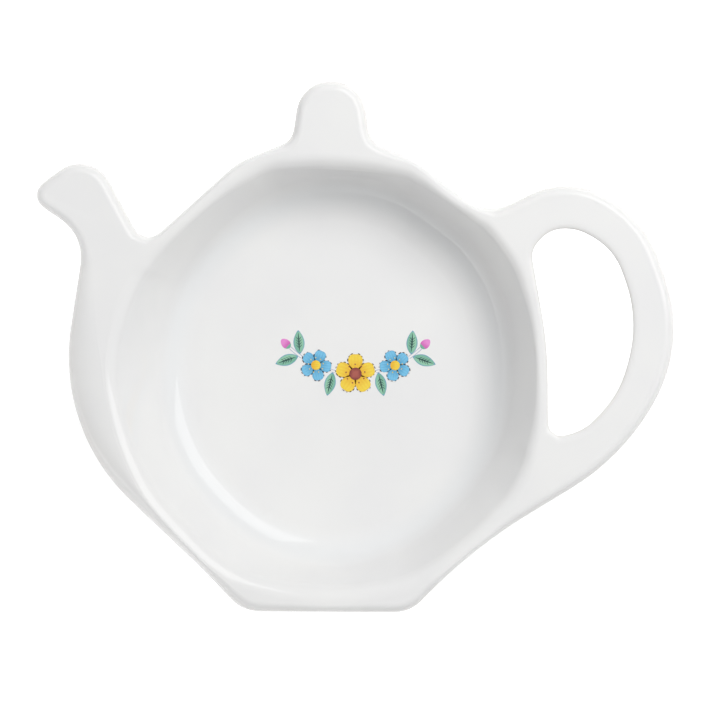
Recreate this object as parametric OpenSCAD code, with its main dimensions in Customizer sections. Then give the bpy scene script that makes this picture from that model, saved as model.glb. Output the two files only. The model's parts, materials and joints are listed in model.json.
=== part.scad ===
// Tea bag rest: a shallow glazed porcelain dish with the outline of a teapot lying on its side.
// The round well takes one wet bag. Spout, lid knob and handle are flat tabs level with the rim,
// and a foot ring under the well carries the dish. A printed garland lies on the floor of the well.
// X runs from the spout to the handle, Y from the teapot's base to its lid knob.

/* [Well] */
// Half width of the mouth of the well, towards the handle
well_rx = 43.9; // [40:0.1:50]
// Half length of the mouth of the well, towards the lid knob
well_ry = 44.9; // [41:0.1:50]
// Depth of the well below the rim
well_depth = 13.6; // [11:0.1:17]
// Half width of the flat floor of the well, towards the handle
floor_rx = 28.2; // [24:0.1:30]
// Half length of the flat floor of the well, towards the lid knob
floor_ry = 29.6; // [25:0.1:31]
// Thickness of the floor
floor_t = 3; // [2.5:0.1:5]
// Radius between the floor and the wall of the well
fillet_r = 8.2; // [6:0.1:10]
// Radius of the roll from the rim into the well
roll_r = 2.5; // [1.5:0.1:3.5]

/* [Rim] */
// Least width of the rim round the well
rim_w = 1.2; // [0.8:0.1:2]
// Radius of the rounded upper edge
edge_r = 2.3; // [1.5:0.1:2.6]
// Thickness of the rim and of the tabs
tab_t = 5; // [4.2:0.1:6]
// How far the lower edge is rounded inwards
under_w = 2; // [1.2:0.1:2.4]
// Width of the sloping shoulder on the spout side
flank_w = 7.5; // [5:0.1:10]
// Fall of that shoulder from the rim to its edge
flank_drop = 5; // [3:0.1:6]

/* [Teapot outline] */
// Length of the teapot's straight base
base_len = 33.2; // [28:0.1:38]
// Rim between the well and the base
base_rim = 1.2; // [1:0.1:3]
// Rim between the well and the foot of the lid knob
lid_rim = 1.6; // [1.2:0.1:3]

/* [Lid knob] */
// Width of the lid knob at its foot
knob_w = 15.2; // [13:0.1:18]
// Height of the lid knob above the lid
knob_h = 11.6; // [9:0.1:16]
// Roundness of the top of the lid knob
knob_r = 6.5; // [4:0.1:6.5]

/* [Spout] */
// How far the tip of the spout stands out past the body
spout_out = 6.3; // [4:0.1:9]
// Height of the mouth of the spout above the middle of the well
spout_rise = 42; // [40:0.1:46]
// Fall of the spout from its root to its mouth
spout_dip = 1; // [0:0.1:2]

/* [Handle] */
// How far the handle stands out past the body
handle_out = 24.8; // [21:0.1:30]
// Height of the top of the handle above the middle of the well
handle_rise = 37.5; // [35:0.1:40]
// Width of the grip at its outermost point
grip_w = 8.1; // [6.5:0.1:10]
// Width of the grip at its top
grip_top_w = 8.2; // [6.5:0.1:10]
// Depth of the finger gap below the middle of the well
gap_drop = 11.1; // [9:0.1:13]

/* [Foot] */
// Outer radius of the foot ring
foot_r = 31; // [28:0.1:33]
// Width of the foot ring
foot_w = 3.4; // [2.5:0.1:5]
// Height of the foot ring
foot_h = 1.6; // [1.2:0.1:3]
// Roundness of the edges that the dish stands on
foot_edge = 0.6; // [0.3:0.1:1]

/* [Print] */
// Thickness of one layer of print
film_t = 0.1; // [0.05:0.01:0.2]
// Radius to which the garland's stem is bent
stem_r = 19; // [15:0.5:25]
// Width of a stem
stem_w = 0.5; // [0.3:0.1:0.8]
// Radius of the middle flower
big_flower_r = 4.1; // [3:0.1:4.4]
// Radius of the side flowers
small_flower_r = 3.2; // [2.4:0.1:3.4]
// Length of a leaf
leaf_len = 4.8; // [3.5:0.1:5]
// Width of a leaf
leaf_w = 2.2; // [1.5:0.1:2.6]
// Length of a bud
bud_len = 2.4; // [1.6:0.1:3]

/* [Hidden] */
// A facet is no shorter than this share of a stem's width
facet_share = 0.2;
$fa = 2;
$fs = facet_share * stem_w;
glaze = "#f1f1ef";
biscuit = "#ddd8cd";

// Largest turn and longest run between two stations of the outline
turn_step = 15;
run_share = 0.1;
least_run_share = 0.005;
run = run_share * well_rx;
least_run = least_run_share * well_rx;

// Levels
floor_z = foot_h + floor_t;
rim_z = floor_z + well_depth;
under_h = tab_t - edge_r;

// The outline's reach each way from the middle of the well
left_x = well_rx + flank_w;
right_x = well_rx - rim_w;
base_y = well_ry + base_rim;
lid_y = well_ry + lid_rim;
knob_y = lid_y + knob_h;
handle_x = right_x + handle_out;
spout_x = left_x + spout_out;
gap_w = handle_out - grip_w;
gap_h = handle_rise - grip_top_w + gap_drop;

// Bearings where the outline comes close to the well, each with the half width of the place where
// the rim is drawn in to keep its least width, and how far the floor and the roll follow it
pinches = [[3, 30], [56, 14], [130, 25], [228, 18], [309, 20]];
reach_turn = 4;
follow_share = 0.3;
tight_share = 0.5;
edge_share = 0.8;
flank_share = 0.95;
wall_share = 0.92;
belly_share = 0.6;
wall_bend = 2;
flank_turns = [150, 182, 225, 262];

// Corners of the teapot, counter-clockwise: X, Y and radius as shares of the sizes they follow
base_shift_share = -0.011;
base_corner_share = 0.16;
heel_shares = [0.638, -0.748, 2.35];
handle_shares = [
    [0.855, -0.411, 0.68], [1.045, 0.187, 0.44], [0.917, 0.832, 0.32], [0.698, 1.061, 0.23]
];
crotch_shares = [0.706, 0.706, 0.19];
shoulder_shares = [0.41, 0.938, 0.3];
knob_shift_share = 0.011;
knob_top_share = 0.8;
knob_root_share = 0.2;
knob_round_share = 0.43;
notch_shares = [-0.829, 0.57, 0.068];
spout_shares = [[-0.813, 1.076, 0.114], [-1.04, 0.848, 0.0485], [-0.832, 0.662, 0.156]];
belly_shares = [-1.06, -0.232, 0.74];
bend_shares = [-0.565, -0.849, 0.91];
gap_shares = [
    [0.006, -0.02, 0.054], [0, 0.433, 1.9], [-0.204, 0.899, 0.087], [0.03, 1.003, 0.145],
    [0.353, 1.003, 0.22], [0.772, 0.903, 0.3], [1.078, 0.559, 0.64], [0.838, 0.203, 0.5],
    [0.437, 0.025, 0.25]
];

knob_x = knob_shift_share * well_rx;
base_x = base_shift_share * well_rx;
base_corner = base_corner_share * well_rx;
knob_root = knob_root_share * knob_w;
knob_top = knob_top_share * knob_w / 2;
knob_round = min(knob_r, knob_round_share * knob_w);

edge_corners = [
    [base_x + base_len / 2, -base_y, base_corner],
    scaled(heel_shares, well_rx, well_ry),
    scaled(handle_shares[0], handle_x, handle_rise),
    scaled(handle_shares[1], handle_x, handle_rise),
    scaled(handle_shares[2], handle_x, handle_rise),
    scaled(handle_shares[3], handle_x, handle_rise),
    scaled(crotch_shares, well_rx, well_ry),
    scaled(shoulder_shares, well_rx, well_ry),
    [knob_x + knob_w / 2, lid_y, knob_root],
    [knob_x + knob_top, knob_y, knob_round],
    [knob_x - knob_top, knob_y, knob_round],
    [knob_x - knob_w / 2, lid_y, knob_root],
    mirrored(scaled(shoulder_shares, well_rx, well_ry)),
    scaled(notch_shares, well_rx, well_ry),
    scaled(spout_shares[0], spout_x, spout_rise),
    scaled(spout_shares[1], spout_x, spout_rise),
    scaled(spout_shares[2], spout_x, spout_rise),
    scaled(belly_shares, left_x, well_ry),
    scaled(bend_shares, well_rx, well_ry),
    [base_x - base_len / 2, -base_y, base_corner]
];
gap_corners = [
    for (c = gap_shares) [right_x + c[0] * gap_w, c[1] * gap_h - gap_drop, c[2] * gap_h]
];

// Where the tabs meet the body: shares of the straight wall between two roundings, or of the arc in
// the notch at the spout and in the lower corner of the finger gap
handle_low_share = 0.86;
handle_high_share = 0.566;
knob_foot_share = 0.338;
spout_high_share = 0.757;
spout_low_share = 0.086;
gap_low_share = 0.27;
gap_high_share = 0.577;
spout_heart_share = 0.42;
handle_low = wall_point(edge_corners, 1, handle_low_share);
handle_high = wall_point(edge_corners, 5, handle_high_share);
knob_right = wall_point(edge_corners, 8, knob_foot_share);
knob_left = wall_point(edge_corners, 10, 1 - knob_foot_share);
spout_high = rounding(edge_corners, 13, spout_high_share, 1)[0];
spout_low = wall_point(edge_corners, 16, spout_low_share);
spout_tip = xy(edge_corners[14]);
gap_high = wall_point(gap_corners, 2, gap_high_share);

// Stretches of the outline from one tab to the next, each without its last point
grip_side = stretch([[handle_low], corner_run(edge_corners, 2, 5), [handle_high]]);
lid_side = stretch([[handle_high], corner_run(edge_corners, 6, 8), [knob_right]]);
knob_side = stretch([[knob_right], corner_run(edge_corners, 9, 10), [knob_left]]);
notch_side = stretch([
    [knob_left], corner_run(edge_corners, 11, 12), rounding(edge_corners, 13, 0, spout_high_share)
]);
spout_side = stretch([
    rounding(edge_corners, 13, spout_high_share, 1), corner_run(edge_corners, 14, 16), [spout_low]
]);
belly_side = stretch([[spout_low], corner_run(edge_corners, 17, 21), [handle_low]]);
gap_body_side = stretch([
    rounding(gap_corners, 0, gap_low_share, 1), corner_run(gap_corners, 1, 2), [gap_high]
]);
gap_grip_side = stretch([
    [gap_high], corner_run(gap_corners, 3, 8), rounding(gap_corners, 0, 0, gap_low_share)
]);
outline = concat(grip_side, lid_side, knob_side, notch_side, spout_side, belly_side);
gap_outline = concat(gap_body_side, gap_grip_side);

// First station of each stretch
lid_start = len(grip_side);
knob_start = lid_start + len(lid_side);
notch_start = knob_start + len(knob_side);
spout_start = notch_start + len(notch_side);
belly_start = spout_start + len(spout_side);
grip_gap_start = len(gap_body_side);

// The frame's origin lies under the middle of the whole outline
middle = [
    (max([for (p = outline) p[0]]) + min([for (p = outline) p[0]])) / 2,
    (max([for (p = outline) p[1]]) + min([for (p = outline) p[1]])) / 2
];

// The garland: its lowest point, and distances along its stem from there, the same to both sides.
// Each leaf has a distance, its side of the stem, 1 outside and -1 inside, and its lean outwards.
garland_x_share = 0.1;
garland_y_share = 0.05;
garland_x = garland_x_share * well_rx;
garland_y = garland_y_share * big_flower_r;
flower_gap = 0.8;
leaf_gap = 0.7;
tip_len = 2.3;
flower_run = big_flower_r + small_flower_r + flower_gap;
inner_leaf_run = big_flower_r + flower_gap / 2;
outer_leaf_run = flower_run + small_flower_r + leaf_gap;
stem_end = outer_leaf_run + tip_len;
leaves = [[inner_leaf_run, 1, 0], [outer_leaf_run, 1, 35], [outer_leaf_run, -1, 40]];
petals = 5;
heart_share = 0.3;
bud_w_share = 0.72;
vein_share = 0.8;
vein_w_share = 0.5;
vein_peak_share = 0.33;

// Angles at which the rounded edges and the well are cut into rings
under_turns = [90, 60, 30];
edge_turns = [0, 22.5, 45, 67.5, 90];
roll_steps = 3;
fillet_steps = 4;
wall_steps = 4;
root_steps = 4;

function scaled(share, x, y) = [share[0] * x, share[1] * y, share[2] * x];
function mirrored(c) = [-c[0], c[1], c[2]];
function xy(c) = [c[0], c[1]];
function unit(v) = v / norm(v);
function left(v) = [-v[1], v[0]];
function cross2(a, b) = a[0] * b[1] - a[1] * b[0];
function mix(a, b, t) = a + (b - a) * t;
function spin(v, a) = [v[0] * cos(a) - v[1] * sin(a), v[0] * sin(a) + v[1] * cos(a)];
// A point on the straight wall from the rounding of corner i to that of the next corner
function wall_point(cs, i, t) = mix(rounding(cs, i, 1)[0], rounding(cs, i + 1, 0, 0)[0], t);
function smooth(t) = let (s = min(max(t, 0), 1)) s * s * (3 - 2 * s);
function total(lists) = [for (l = lists) each l];
function total_of(v) = v * [for (x = v) 1];

// Half the angle inside corner i, and the length of wall that its full rounding takes on each side
function neighbour(cs, i, step = 0) = xy(cs[(i + len(cs) + step) % len(cs)]);
function corner_half(cs, i) =
    let (c = neighbour(cs, i), u = unit(neighbour(cs, i, -1) - c), v = unit(neighbour(cs, i, 1) - c))
    acos(min(max(u * v, -1), 1)) / 2;
function corner_take(cs, i) = cs[(i + len(cs)) % len(cs)][2] / tan(corner_half(cs, i));
// A rounding is limited by the walls that it shares with its neighbours
function wall_fit(cs, i, step) =
    norm(neighbour(cs, i, step) - neighbour(cs, i))
    / (corner_take(cs, i) + corner_take(cs, i + step));
function corner_r(cs, i) = cs[i % len(cs)][2] * min(wall_fit(cs, i, -1), wall_fit(cs, i, 1), 1);

// Points of the arc that rounds corner i, from the share f0 to the share f1 of its length
function rounding(cs, i, f0 = 0, f1 = 1) =
    let (
        c = neighbour(cs, i),
        u = unit(neighbour(cs, i, -1) - c),
        v = unit(neighbour(cs, i, 1) - c),
        half = corner_half(cs, i),
        r = corner_r(cs, i),
        heart = c + unit(u + v) * r / sin(half),
        first = c + u * r / tan(half) - heart,
        turn = (180 - 2 * half) * sign(cross2(-u, v)),
        arc_len = abs(turn) * PI / 180 * r * (f1 - f0),
        count = max(ceil(abs(turn) * (f1 - f0) / turn_step), ceil(arc_len / run), 1)
    )
    [for (k = [0 : count]) heart + spin(first, turn * mix(f0, f1, k / count))];

function corner_run(cs, i, j) = [for (k = [i : j]) each rounding(cs, k)];

// Joins lists of points, drops points that lie too close and fills long straight runs
function stretch(lists) =
    let (
        all = total(lists),
        last = len(all) - 1,
        kept = [for (i = [0 : last]) if (i == 0 || i == last || apart(all, i)) all[i]],
        end = len(kept) - 1
    )
    [for (i = [0 : end - 1]) each filled(kept[i], kept[i + 1])];
function apart(all, i) =
    norm(all[i] - all[i - 1]) > least_run && norm(all[len(all) - 1] - all[i]) > least_run;
function filled(a, b) =
    let (count = max(ceil(norm(b - a) / run - least_run / run), 1))
    [for (k = [0 : count - 1]) mix(a, b, k / count)];

// The well seen in plan: its mouth on a bearing, and the ridge of the rim inside a point of the edge
function ellipse_at(a, rx, ry) = 1 / sqrt(pow(cos(a) / rx, 2) + pow(sin(a) / ry, 2));
function mouth_at(a) = ellipse_at(a, well_rx, well_ry);
function bearing(p) = (atan2(p[1], p[0]) + 360) % 360;
function off_bearing(a, b) = abs((a - b + 540) % 360 - 180);
function edge_reach(a) =
    min([
        for (p = concat(outline, gap_body_side)) if (off_bearing(bearing(p), a) < reach_turn) norm(p)
    ]);
pinch_depths = [for (c = pinches) max(mouth_at(c[0]) - edge_reach(c[0]) + rim_w, 0)];
function pull_at(a) = total_of([
    for (i = [0 : len(pinches) - 1])
        let (t = min(off_bearing(a, pinches[i][0]) / pinches[i][1], 1))
        pinch_depths[i] * pow(cos(90 * t), 2)
]);
function ridge_at(p) = mouth_at(bearing(p)) - pull_at(bearing(p));
function land_at(p) = norm(p) - ridge_at(p);
function roll_at(p) = max(roll_r - tight_share * pull_at(bearing(p)), rim_w / 2);
function floor_at(p) =
    ellipse_at(bearing(p), floor_rx, floor_ry) - follow_share * pull_at(bearing(p));

// How much of the sloping shoulder a point of the edge has, from none to all
function flank_at(p) =
    let (a = bearing(p))
    smooth((a - flank_turns[0]) / (flank_turns[1] - flank_turns[0]))
    * (1 - smooth((a - flank_turns[2]) / (flank_turns[3] - flank_turns[2])));
function edge_w(p) =
    mix(min(edge_r, edge_share * land_at(p)), flank_share * land_at(p), flank_at(p));
function edge_h(p) = mix(edge_r, flank_drop, flank_at(p));
function under_z(p) = rim_z - edge_h(p) - under_h;

// The spout's fall, which starts level at its root
spout_cut = unit(left(spout_high - spout_low));
spout_len = max([for (p = outline) (p - spout_low) * spout_cut]);
function dip(p, falls) =
    falls ? spout_dip * pow(max((p - spout_low) * spout_cut, 0) / spout_len, 2) : 0;

// Direction from an edge point into the material, at the length that keeps offsets parallel
function inward(path, i) =
    let (
        n = len(path),
        a = unit(path[i % n] - path[(i + n - 1) % n]),
        b = unit(path[(i + 1) % n] - path[i % n])
    )
    left(unit(a + b)) / sqrt((1 + a * b) / 2);
// The same for an end of a root, whose offsets stay on the root line
function root_inward(path, i, other) =
    let (across = unit(other - path[i % len(path)]), in = inward(path, i))
    across / (across * in) * (in * in);

// Section of the rounded edge at one station, from its underside to its top
function edge_section(p, in, falls = false) = [
    for (a = under_turns)
        let (q = p + in * under_w * (1 - cos(a)))
        [q[0], q[1], rim_z - edge_h(p) - under_h * sin(a) - dip(q, falls)],
    for (a = edge_turns)
        let (q = p + in * edge_w(p) * (1 - cos(a)))
        [q[0], q[1], rim_z - edge_h(p) * (1 - sin(a)) - dip(q, falls)]
];

function free_sections(path, i, j, falls = false) =
    [for (k = [i : j]) edge_section(path[k % len(path)], inward(path, k), falls)];
function root_section(path, i, other, falls = false) =
    edge_section(path[i % len(path)], root_inward(path, i, other), falls);
function mixed(a, b, t) = [for (k = [0 : len(a) - 1]) mix(a[k], b[k], t)];
function root_line(a, b) = [for (k = [1 : root_steps - 1]) mixed(a, b, k / root_steps)];

// Rings from the foot seat outwards, below the rim
function under_rings(p, section) =
    let (
        to = unit(p),
        seat = foot_r + foot_edge,
        edge = section[0],
        head = mix(ridge_at(p) - rim_w, norm(xy(edge)), belly_share * flank_at(p)),
        z = edge[2]
    )
    [for (k = [0 : wall_steps])
        let (t = 1 - k / wall_steps, r = mix(head, seat, pow(t, wall_bend)))
        [to[0] * r, to[1] * r, mix(z, foot_h, t)]
    ];

// Rings from the ridge of the rim down to the floor of the well
function well_rings(p) =
    let (
        to = unit(p),
        ridge = ridge_at(p),
        flat = floor_at(p),
        wide = ridge - flat,
        roll = roll_at(p),
        fillet = min(fillet_r, wall_share * wide - roll),
        rise = well_depth - fillet - roll,
        slope = atan2(rise, wide) + asin((fillet + roll) / norm([wide, rise]))
    )
    [
        for (k = [0 : roll_steps])
            let (a = slope * k / roll_steps, r = ridge - roll * sin(a))
            [to[0] * r, to[1] * r, rim_z - roll * (1 - cos(a))],
        for (k = [0 : fillet_steps])
            let (a = slope * (1 - k / fillet_steps), r = flat + fillet * sin(a))
            [to[0] * r, to[1] * r, floor_z + fillet * (1 - cos(a))]
    ];

// Loop of sections round the body, across each root in a straight line
low_root = [
    root_section(outline, 0, gap_outline[0]),
    root_section(gap_outline, 0, outline[0])
];
high_root = [
    root_section(gap_outline, grip_gap_start, outline[lid_start]),
    root_section(outline, lid_start, gap_outline[grip_gap_start])
];
knob_root_ends = [
    root_section(outline, knob_start, outline[notch_start]),
    root_section(outline, notch_start, outline[knob_start])
];
spout_root = [
    root_section(outline, spout_start, outline[belly_start]),
    root_section(outline, belly_start, outline[spout_start])
];
body_sections = concat(
    free_sections(outline, belly_start + 1, len(outline) - 1),
    [low_root[0]], root_line(low_root[0], low_root[1]), [low_root[1]],
    free_sections(gap_outline, 1, grip_gap_start - 1),
    [high_root[0]], root_line(high_root[0], high_root[1]), [high_root[1]],
    free_sections(outline, lid_start + 1, knob_start - 1),
    [knob_root_ends[0]], root_line(knob_root_ends[0], knob_root_ends[1]), [knob_root_ends[1]],
    free_sections(outline, notch_start + 1, spout_start - 1),
    [spout_root[0]], root_line(spout_root[0], spout_root[1]), [spout_root[1]]
);

// The station's own point of the edge is where its section stands out furthest
edge_row = len(under_turns);

// Triangles between neighbouring columns of points, round a closed loop
function skin(columns, rows) = [
    for (i = [0 : columns - 1], k = [0 : rows - 2])
        let (j = (i + 1) % columns)
        each [
            [i * rows + k, i * rows + k + 1, j * rows + k + 1],
            [i * rows + k, j * rows + k + 1, j * rows + k]
        ]
];
// Triangles that close a row of the loop to one point
function cap(columns, rows, row, tip, up) = [
    for (i = [0 : columns - 1])
        let (a = i * rows + row, b = ((i + 1) % columns) * rows + row)
        up ? [tip, b, a] : [tip, a, b]
];

module loop_solid(columns, low_tip, high_tip) {
    rows = len(columns[0]);
    count = len(columns);
    polyhedron(
        points = concat(total(columns), [low_tip, high_tip]),
        faces = concat(
            skin(count, rows),
            cap(count, rows, 0, count * rows, false),
            cap(count, rows, rows - 1, count * rows + 1, true)
        )
    );
}

module in_frame() {
    translate([-middle[0], -middle[1], 0]) children();
}

module bowl() {
    color(glaze) in_frame() loop_solid(
        [for (s = body_sections)
            let (p = xy(s[edge_row]))
            concat(under_rings(p, s), s, well_rings(p))
        ],
        [0, 0, foot_h],
        [0, 0, floor_z]
    );
}

// Unglazed ring that the dish stands on, with both lower edges rounded
module foot_ring() {
    color(biscuit) in_frame() rotate_extrude() translate([foot_r - foot_w, 0]) {
        translate([0, foot_edge]) square([foot_w, foot_h - foot_edge]);
        translate([foot_edge, 0]) square([foot_w - 2 * foot_edge, foot_h]);
        translate([foot_edge, foot_edge]) circle(foot_edge);
        translate([foot_w - foot_edge, foot_edge]) circle(foot_edge);
    }
}

// A flat tab: its own edge sections, closed across the root, with plane faces above and below
module tab(sections, heart, falls = false) {
    loop_solid(
        sections,
        [heart[0], heart[1], rim_z - tab_t - dip(heart, falls)],
        [heart[0], heart[1], rim_z - dip(heart, falls)]
    );
}

module lid_knob() {
    color(glaze) in_frame() tab(
        concat(
            [knob_root_ends[0]],
            free_sections(outline, knob_start + 1, notch_start - 1),
            [knob_root_ends[1]]
        ),
        [knob_x, mix(lid_y, knob_y, 1 / 2)]
    );
}

module spout() {
    color(glaze) in_frame() tab(
        concat(
            [spout_root[0]],
            free_sections(outline, spout_start + 1, belly_start - 1, true),
            [spout_root[1]]
        ),
        mix(mix(spout_low, spout_high, 1 / 2), spout_tip, spout_heart_share),
        true
    );
}

// The handle is a strip between the outline and the finger gap, cut by two roots
function rung(k, rungs, count) = round(k * count / rungs);
module handle() {
    outer = concat(
        [low_root[0]], free_sections(outline, 1, lid_start - 1), [high_root[1]]
    );
    inner_run = free_sections(gap_outline, grip_gap_start + 1, len(gap_outline) - 1);
    inner = concat([high_root[0]], inner_run, [low_root[1]]);
    rows = len(outer[0]);
    m = len(outer) - 1;
    n = len(inner) - 1;
    rungs = max(m, n);
    color(glaze) in_frame() polyhedron(
        points = total(concat(outer, inner)),
        faces = concat(
            skin(m + n + 2, rows),
            [for (k = [0 : rungs - 1], high = [0, 1])
                let (
                    i = rung(k, rungs, m),
                    i2 = rung(k + 1, rungs, m),
                    j = m + n + 1 - rung(k, rungs, n),
                    j2 = m + n + 1 - rung(k + 1, rungs, n),
                    row = high * (rows - 1),
                    a = i * rows + row,
                    a2 = i2 * rows + row,
                    b = j * rows + row,
                    b2 = j2 * rows + row
                )
                each [
                    if (i2 > i) high == 1 ? [a, b, a2] : [a, a2, b],
                    if (j > j2) high == 1 ? [a2, b, b2] : [a2, b2, b]
                ]
            ]
        )
    );
}

// The garland hangs from a curved stem, and each thing on it is placed by its distance along it
function stem_turn(along) = along / stem_r * 180 / PI;
module on_stem(along, out = 0) {
    translate([garland_x, garland_y + stem_r]) rotate(stem_turn(along))
        translate([0, -stem_r - out]) children();
}
module film(level) {
    in_frame() translate([0, 0, floor_z + level * film_t]) linear_extrude(film_t) children();
}
module petal_ring(r) {
    petal_r = r * sin(180 / petals) / (1 + sin(180 / petals));
    for (k = [0 : petals - 1]) rotate(90 + k * 360 / petals) translate([r - petal_r, 0])
        circle(petal_r);
    circle(r - petal_r);
}
// A pointed leaf from the origin along +X, where two circles cross
module leaf_shape(length, width) {
    bow = (length * length / width + width) / 4;
    intersection() {
        translate([length / 2, width / 2 - bow]) circle(bow);
        translate([length / 2, bow - width / 2]) circle(bow);
    }
}
// The middle vein runs along most of the leaf and tapers to both ends
module vein_shape() {
    long = leaf_len * vein_share;
    half = stem_w * vein_w_share / 2;
    peak = long * vein_peak_share;
    translate([(leaf_len - long) / 2, 0])
        polygon([[0, 0], [peak, -half], [long, 0], [peak, half]]);
}
module blue_shapes() {
    for (side = [-1, 1]) on_stem(side * flower_run) petal_ring(small_flower_r);
}
module yellow_shape() {
    on_stem(0) petal_ring(big_flower_r);
}
module leaf_places() {
    for (side = [-1, 1], leaf = leaves)
        on_stem(side * leaf[0], leaf[1] * stem_w / 2) rotate(leaf[1] * (side * leaf[2] - 90)) children();
}
module bud_shapes() {
    for (side = [-1, 1]) on_stem(side * stem_end) rotate(90 - side * 90)
        leaf_shape(bud_len, bud_len * bud_w_share);
}
module stem_shape() {
    reach = 2 * stem_r;
    turn = stem_turn(stem_end);
    difference() {
        translate([garland_x, garland_y + stem_r]) intersection() {
            difference() {
                circle(stem_r + stem_w / 2);
                circle(stem_r - stem_w / 2);
            }
            polygon([
                [0, 0],
                [-reach * sin(turn), -reach * cos(turn)],
                [reach * sin(turn), -reach * cos(turn)]
            ]);
        }
        blue_shapes();
        yellow_shape();
        leaf_places() leaf_shape(leaf_len, leaf_w);
        bud_shapes();
    }
}

module print_stems() {
    color("#b9bcd0") film(0) stem_shape();
}
module print_leaves() {
    color("#8fbb97") film(0) leaf_places() leaf_shape(leaf_len, leaf_w);
}
module print_leaf_veins() {
    color("#4d8f86") film(1) leaf_places() vein_shape();
}
module print_blue_petals() {
    color("#6fb1db") film(0) blue_shapes();
}
module print_blue_hearts() {
    color("#e8c437") film(1) for (side = [-1, 1]) on_stem(side * flower_run)
        circle(small_flower_r * heart_share);
}
module print_yellow_petals() {
    color("#e8c437") film(0) yellow_shape();
}
module print_yellow_heart() {
    color("#9c4a44") film(1) on_stem(0) circle(big_flower_r * heart_share);
}
module print_buds() {
    color("#d77fc0") film(0) bud_shapes();
}

bowl();
foot_ring();
spout();
lid_knob();
handle();
print_stems();
print_leaves();
print_leaf_veins();
print_blue_petals();
print_blue_hearts();
print_yellow_petals();
print_yellow_heart();
print_buds();
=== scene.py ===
"""Looks of the porcelain tea bag rest, built round the CAD part.

The dish is drawn in millimetres from the middle of its well, with the CAD part's own sizes, and
put() moves finished points into the part's frame in metres.
"""

import json
import math

import bpy
import numpy as np
from mathutils import Matrix, Vector

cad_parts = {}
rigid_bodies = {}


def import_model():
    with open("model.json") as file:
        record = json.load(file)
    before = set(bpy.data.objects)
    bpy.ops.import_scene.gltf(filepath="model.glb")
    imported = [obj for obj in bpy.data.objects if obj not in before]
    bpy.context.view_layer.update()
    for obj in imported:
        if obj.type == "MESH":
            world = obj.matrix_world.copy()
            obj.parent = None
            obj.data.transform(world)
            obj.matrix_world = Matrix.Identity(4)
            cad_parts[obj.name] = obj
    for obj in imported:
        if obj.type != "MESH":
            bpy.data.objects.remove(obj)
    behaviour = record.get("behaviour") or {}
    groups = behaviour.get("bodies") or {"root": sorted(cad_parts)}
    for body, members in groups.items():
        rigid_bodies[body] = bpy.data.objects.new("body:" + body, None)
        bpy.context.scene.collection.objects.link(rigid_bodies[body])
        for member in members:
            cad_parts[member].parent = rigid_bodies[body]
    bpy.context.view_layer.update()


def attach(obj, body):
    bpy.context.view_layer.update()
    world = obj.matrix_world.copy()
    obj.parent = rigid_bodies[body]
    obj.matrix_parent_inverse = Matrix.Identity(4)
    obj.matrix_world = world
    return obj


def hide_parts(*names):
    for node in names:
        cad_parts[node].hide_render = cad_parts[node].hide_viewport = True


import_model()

MM = 0.001
BODY = "root"

# Well and rim, as in the CAD part
WELL_RX, WELL_RY, WELL_DEPTH = 43.9, 44.9, 13.6
FLOOR_RX, FLOOR_T, FILLET_R = 28.2, 3.0, 8.2
RIM_W, EDGE_R, TAB_T, UNDER_W = 1.2, 2.3, 5.0, 2.0
FLANK_W, FLANK_DROP = 7.5, 5.0
BASE_LEN, BASE_RIM, LID_RIM = 33.2, 1.2, 1.6
KNOB_W, KNOB_H, KNOB_R = 15.2, 11.6, 6.5
SPOUT_OUT, SPOUT_RISE, SPOUT_DIP = 6.3, 42.0, 1.0
HANDLE_OUT, HANDLE_RISE, GRIP_W, GRIP_TOP_W, GAP_DROP = 24.8, 37.5, 8.1, 8.2, 11.1
FOOT_R, FOOT_W, FOOT_H, FOOT_EDGE = 31.0, 3.4, 1.6, 0.6

# Garland, as in the CAD part, with films as thin as fired ink
STEM_R, STEM_W = 19.0, 0.5
BIG_FLOWER_R, SMALL_FLOWER_R = 4.1, 3.2
LEAF_LEN, LEAF_W, BUD_LEN, BUD_W_SHARE = 4.8, 2.2, 2.4, 0.72
GARLAND_X, GARLAND_Y = 0.1 * WELL_RX, 0.05 * BIG_FLOWER_R
FLOWER_GAP, LEAF_GAP, TIP_LEN = 0.8, 0.7, 2.3
FLOWER_RUN = BIG_FLOWER_R + SMALL_FLOWER_R + FLOWER_GAP
INNER_LEAF_RUN = BIG_FLOWER_R + FLOWER_GAP / 2
OUTER_LEAF_RUN = FLOWER_RUN + SMALL_FLOWER_R + LEAF_GAP
STEM_END = OUTER_LEAF_RUN + TIP_LEN
LEAVES = [(INNER_LEAF_RUN, 1, 0), (OUTER_LEAF_RUN, 1, 35), (OUTER_LEAF_RUN, -1, 40)]
PETALS, PETAL_LONG, PETAL_WIDE = 5, 2.5, 2.15
HEART_SHARE, DOT_RING_SHARE, DOT_SHARE = 0.3, 0.46, 0.035
FILM = 0.03
# Pen strokes follow each petal over this turn, in degrees, to each side of its tip, just
# outside it, and dip in at the notch
PEN_TURN, PEN_REACH, PEN_DIP, PEN_DIP_TURN = 112, 1.02, 0.05, 0.35
STEM_STEPS, PEN_STEPS = 15, 32

# Rounder forms that the glaze gives to the clay's edges
CREST_R, SHOULDER_ROLL_R, RIM_ROLL_R = 1.0, 4.5, 4.0
CREST_TURN = 16
EDGE_W, GAP_EDGE_W, GAP_EDGE_H = 1.8, 1.6, 0.55
# Shares of the rim's flat that the edge and the sloping shoulder may take
EDGE_ROOM, SHOULDER_ROOM = 0.8, 0.95
# The ridge lies a little further out than the clay's, but is drawn in at three places, each
# with its bearing, half width and depth
RIM_SPREAD, SPREAD_FADE = 0.3, 0.4
DRAWN_IN = [(86, 24, 0.9), (210, 38, 0.95), (268, 34, 0.6)]
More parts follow.
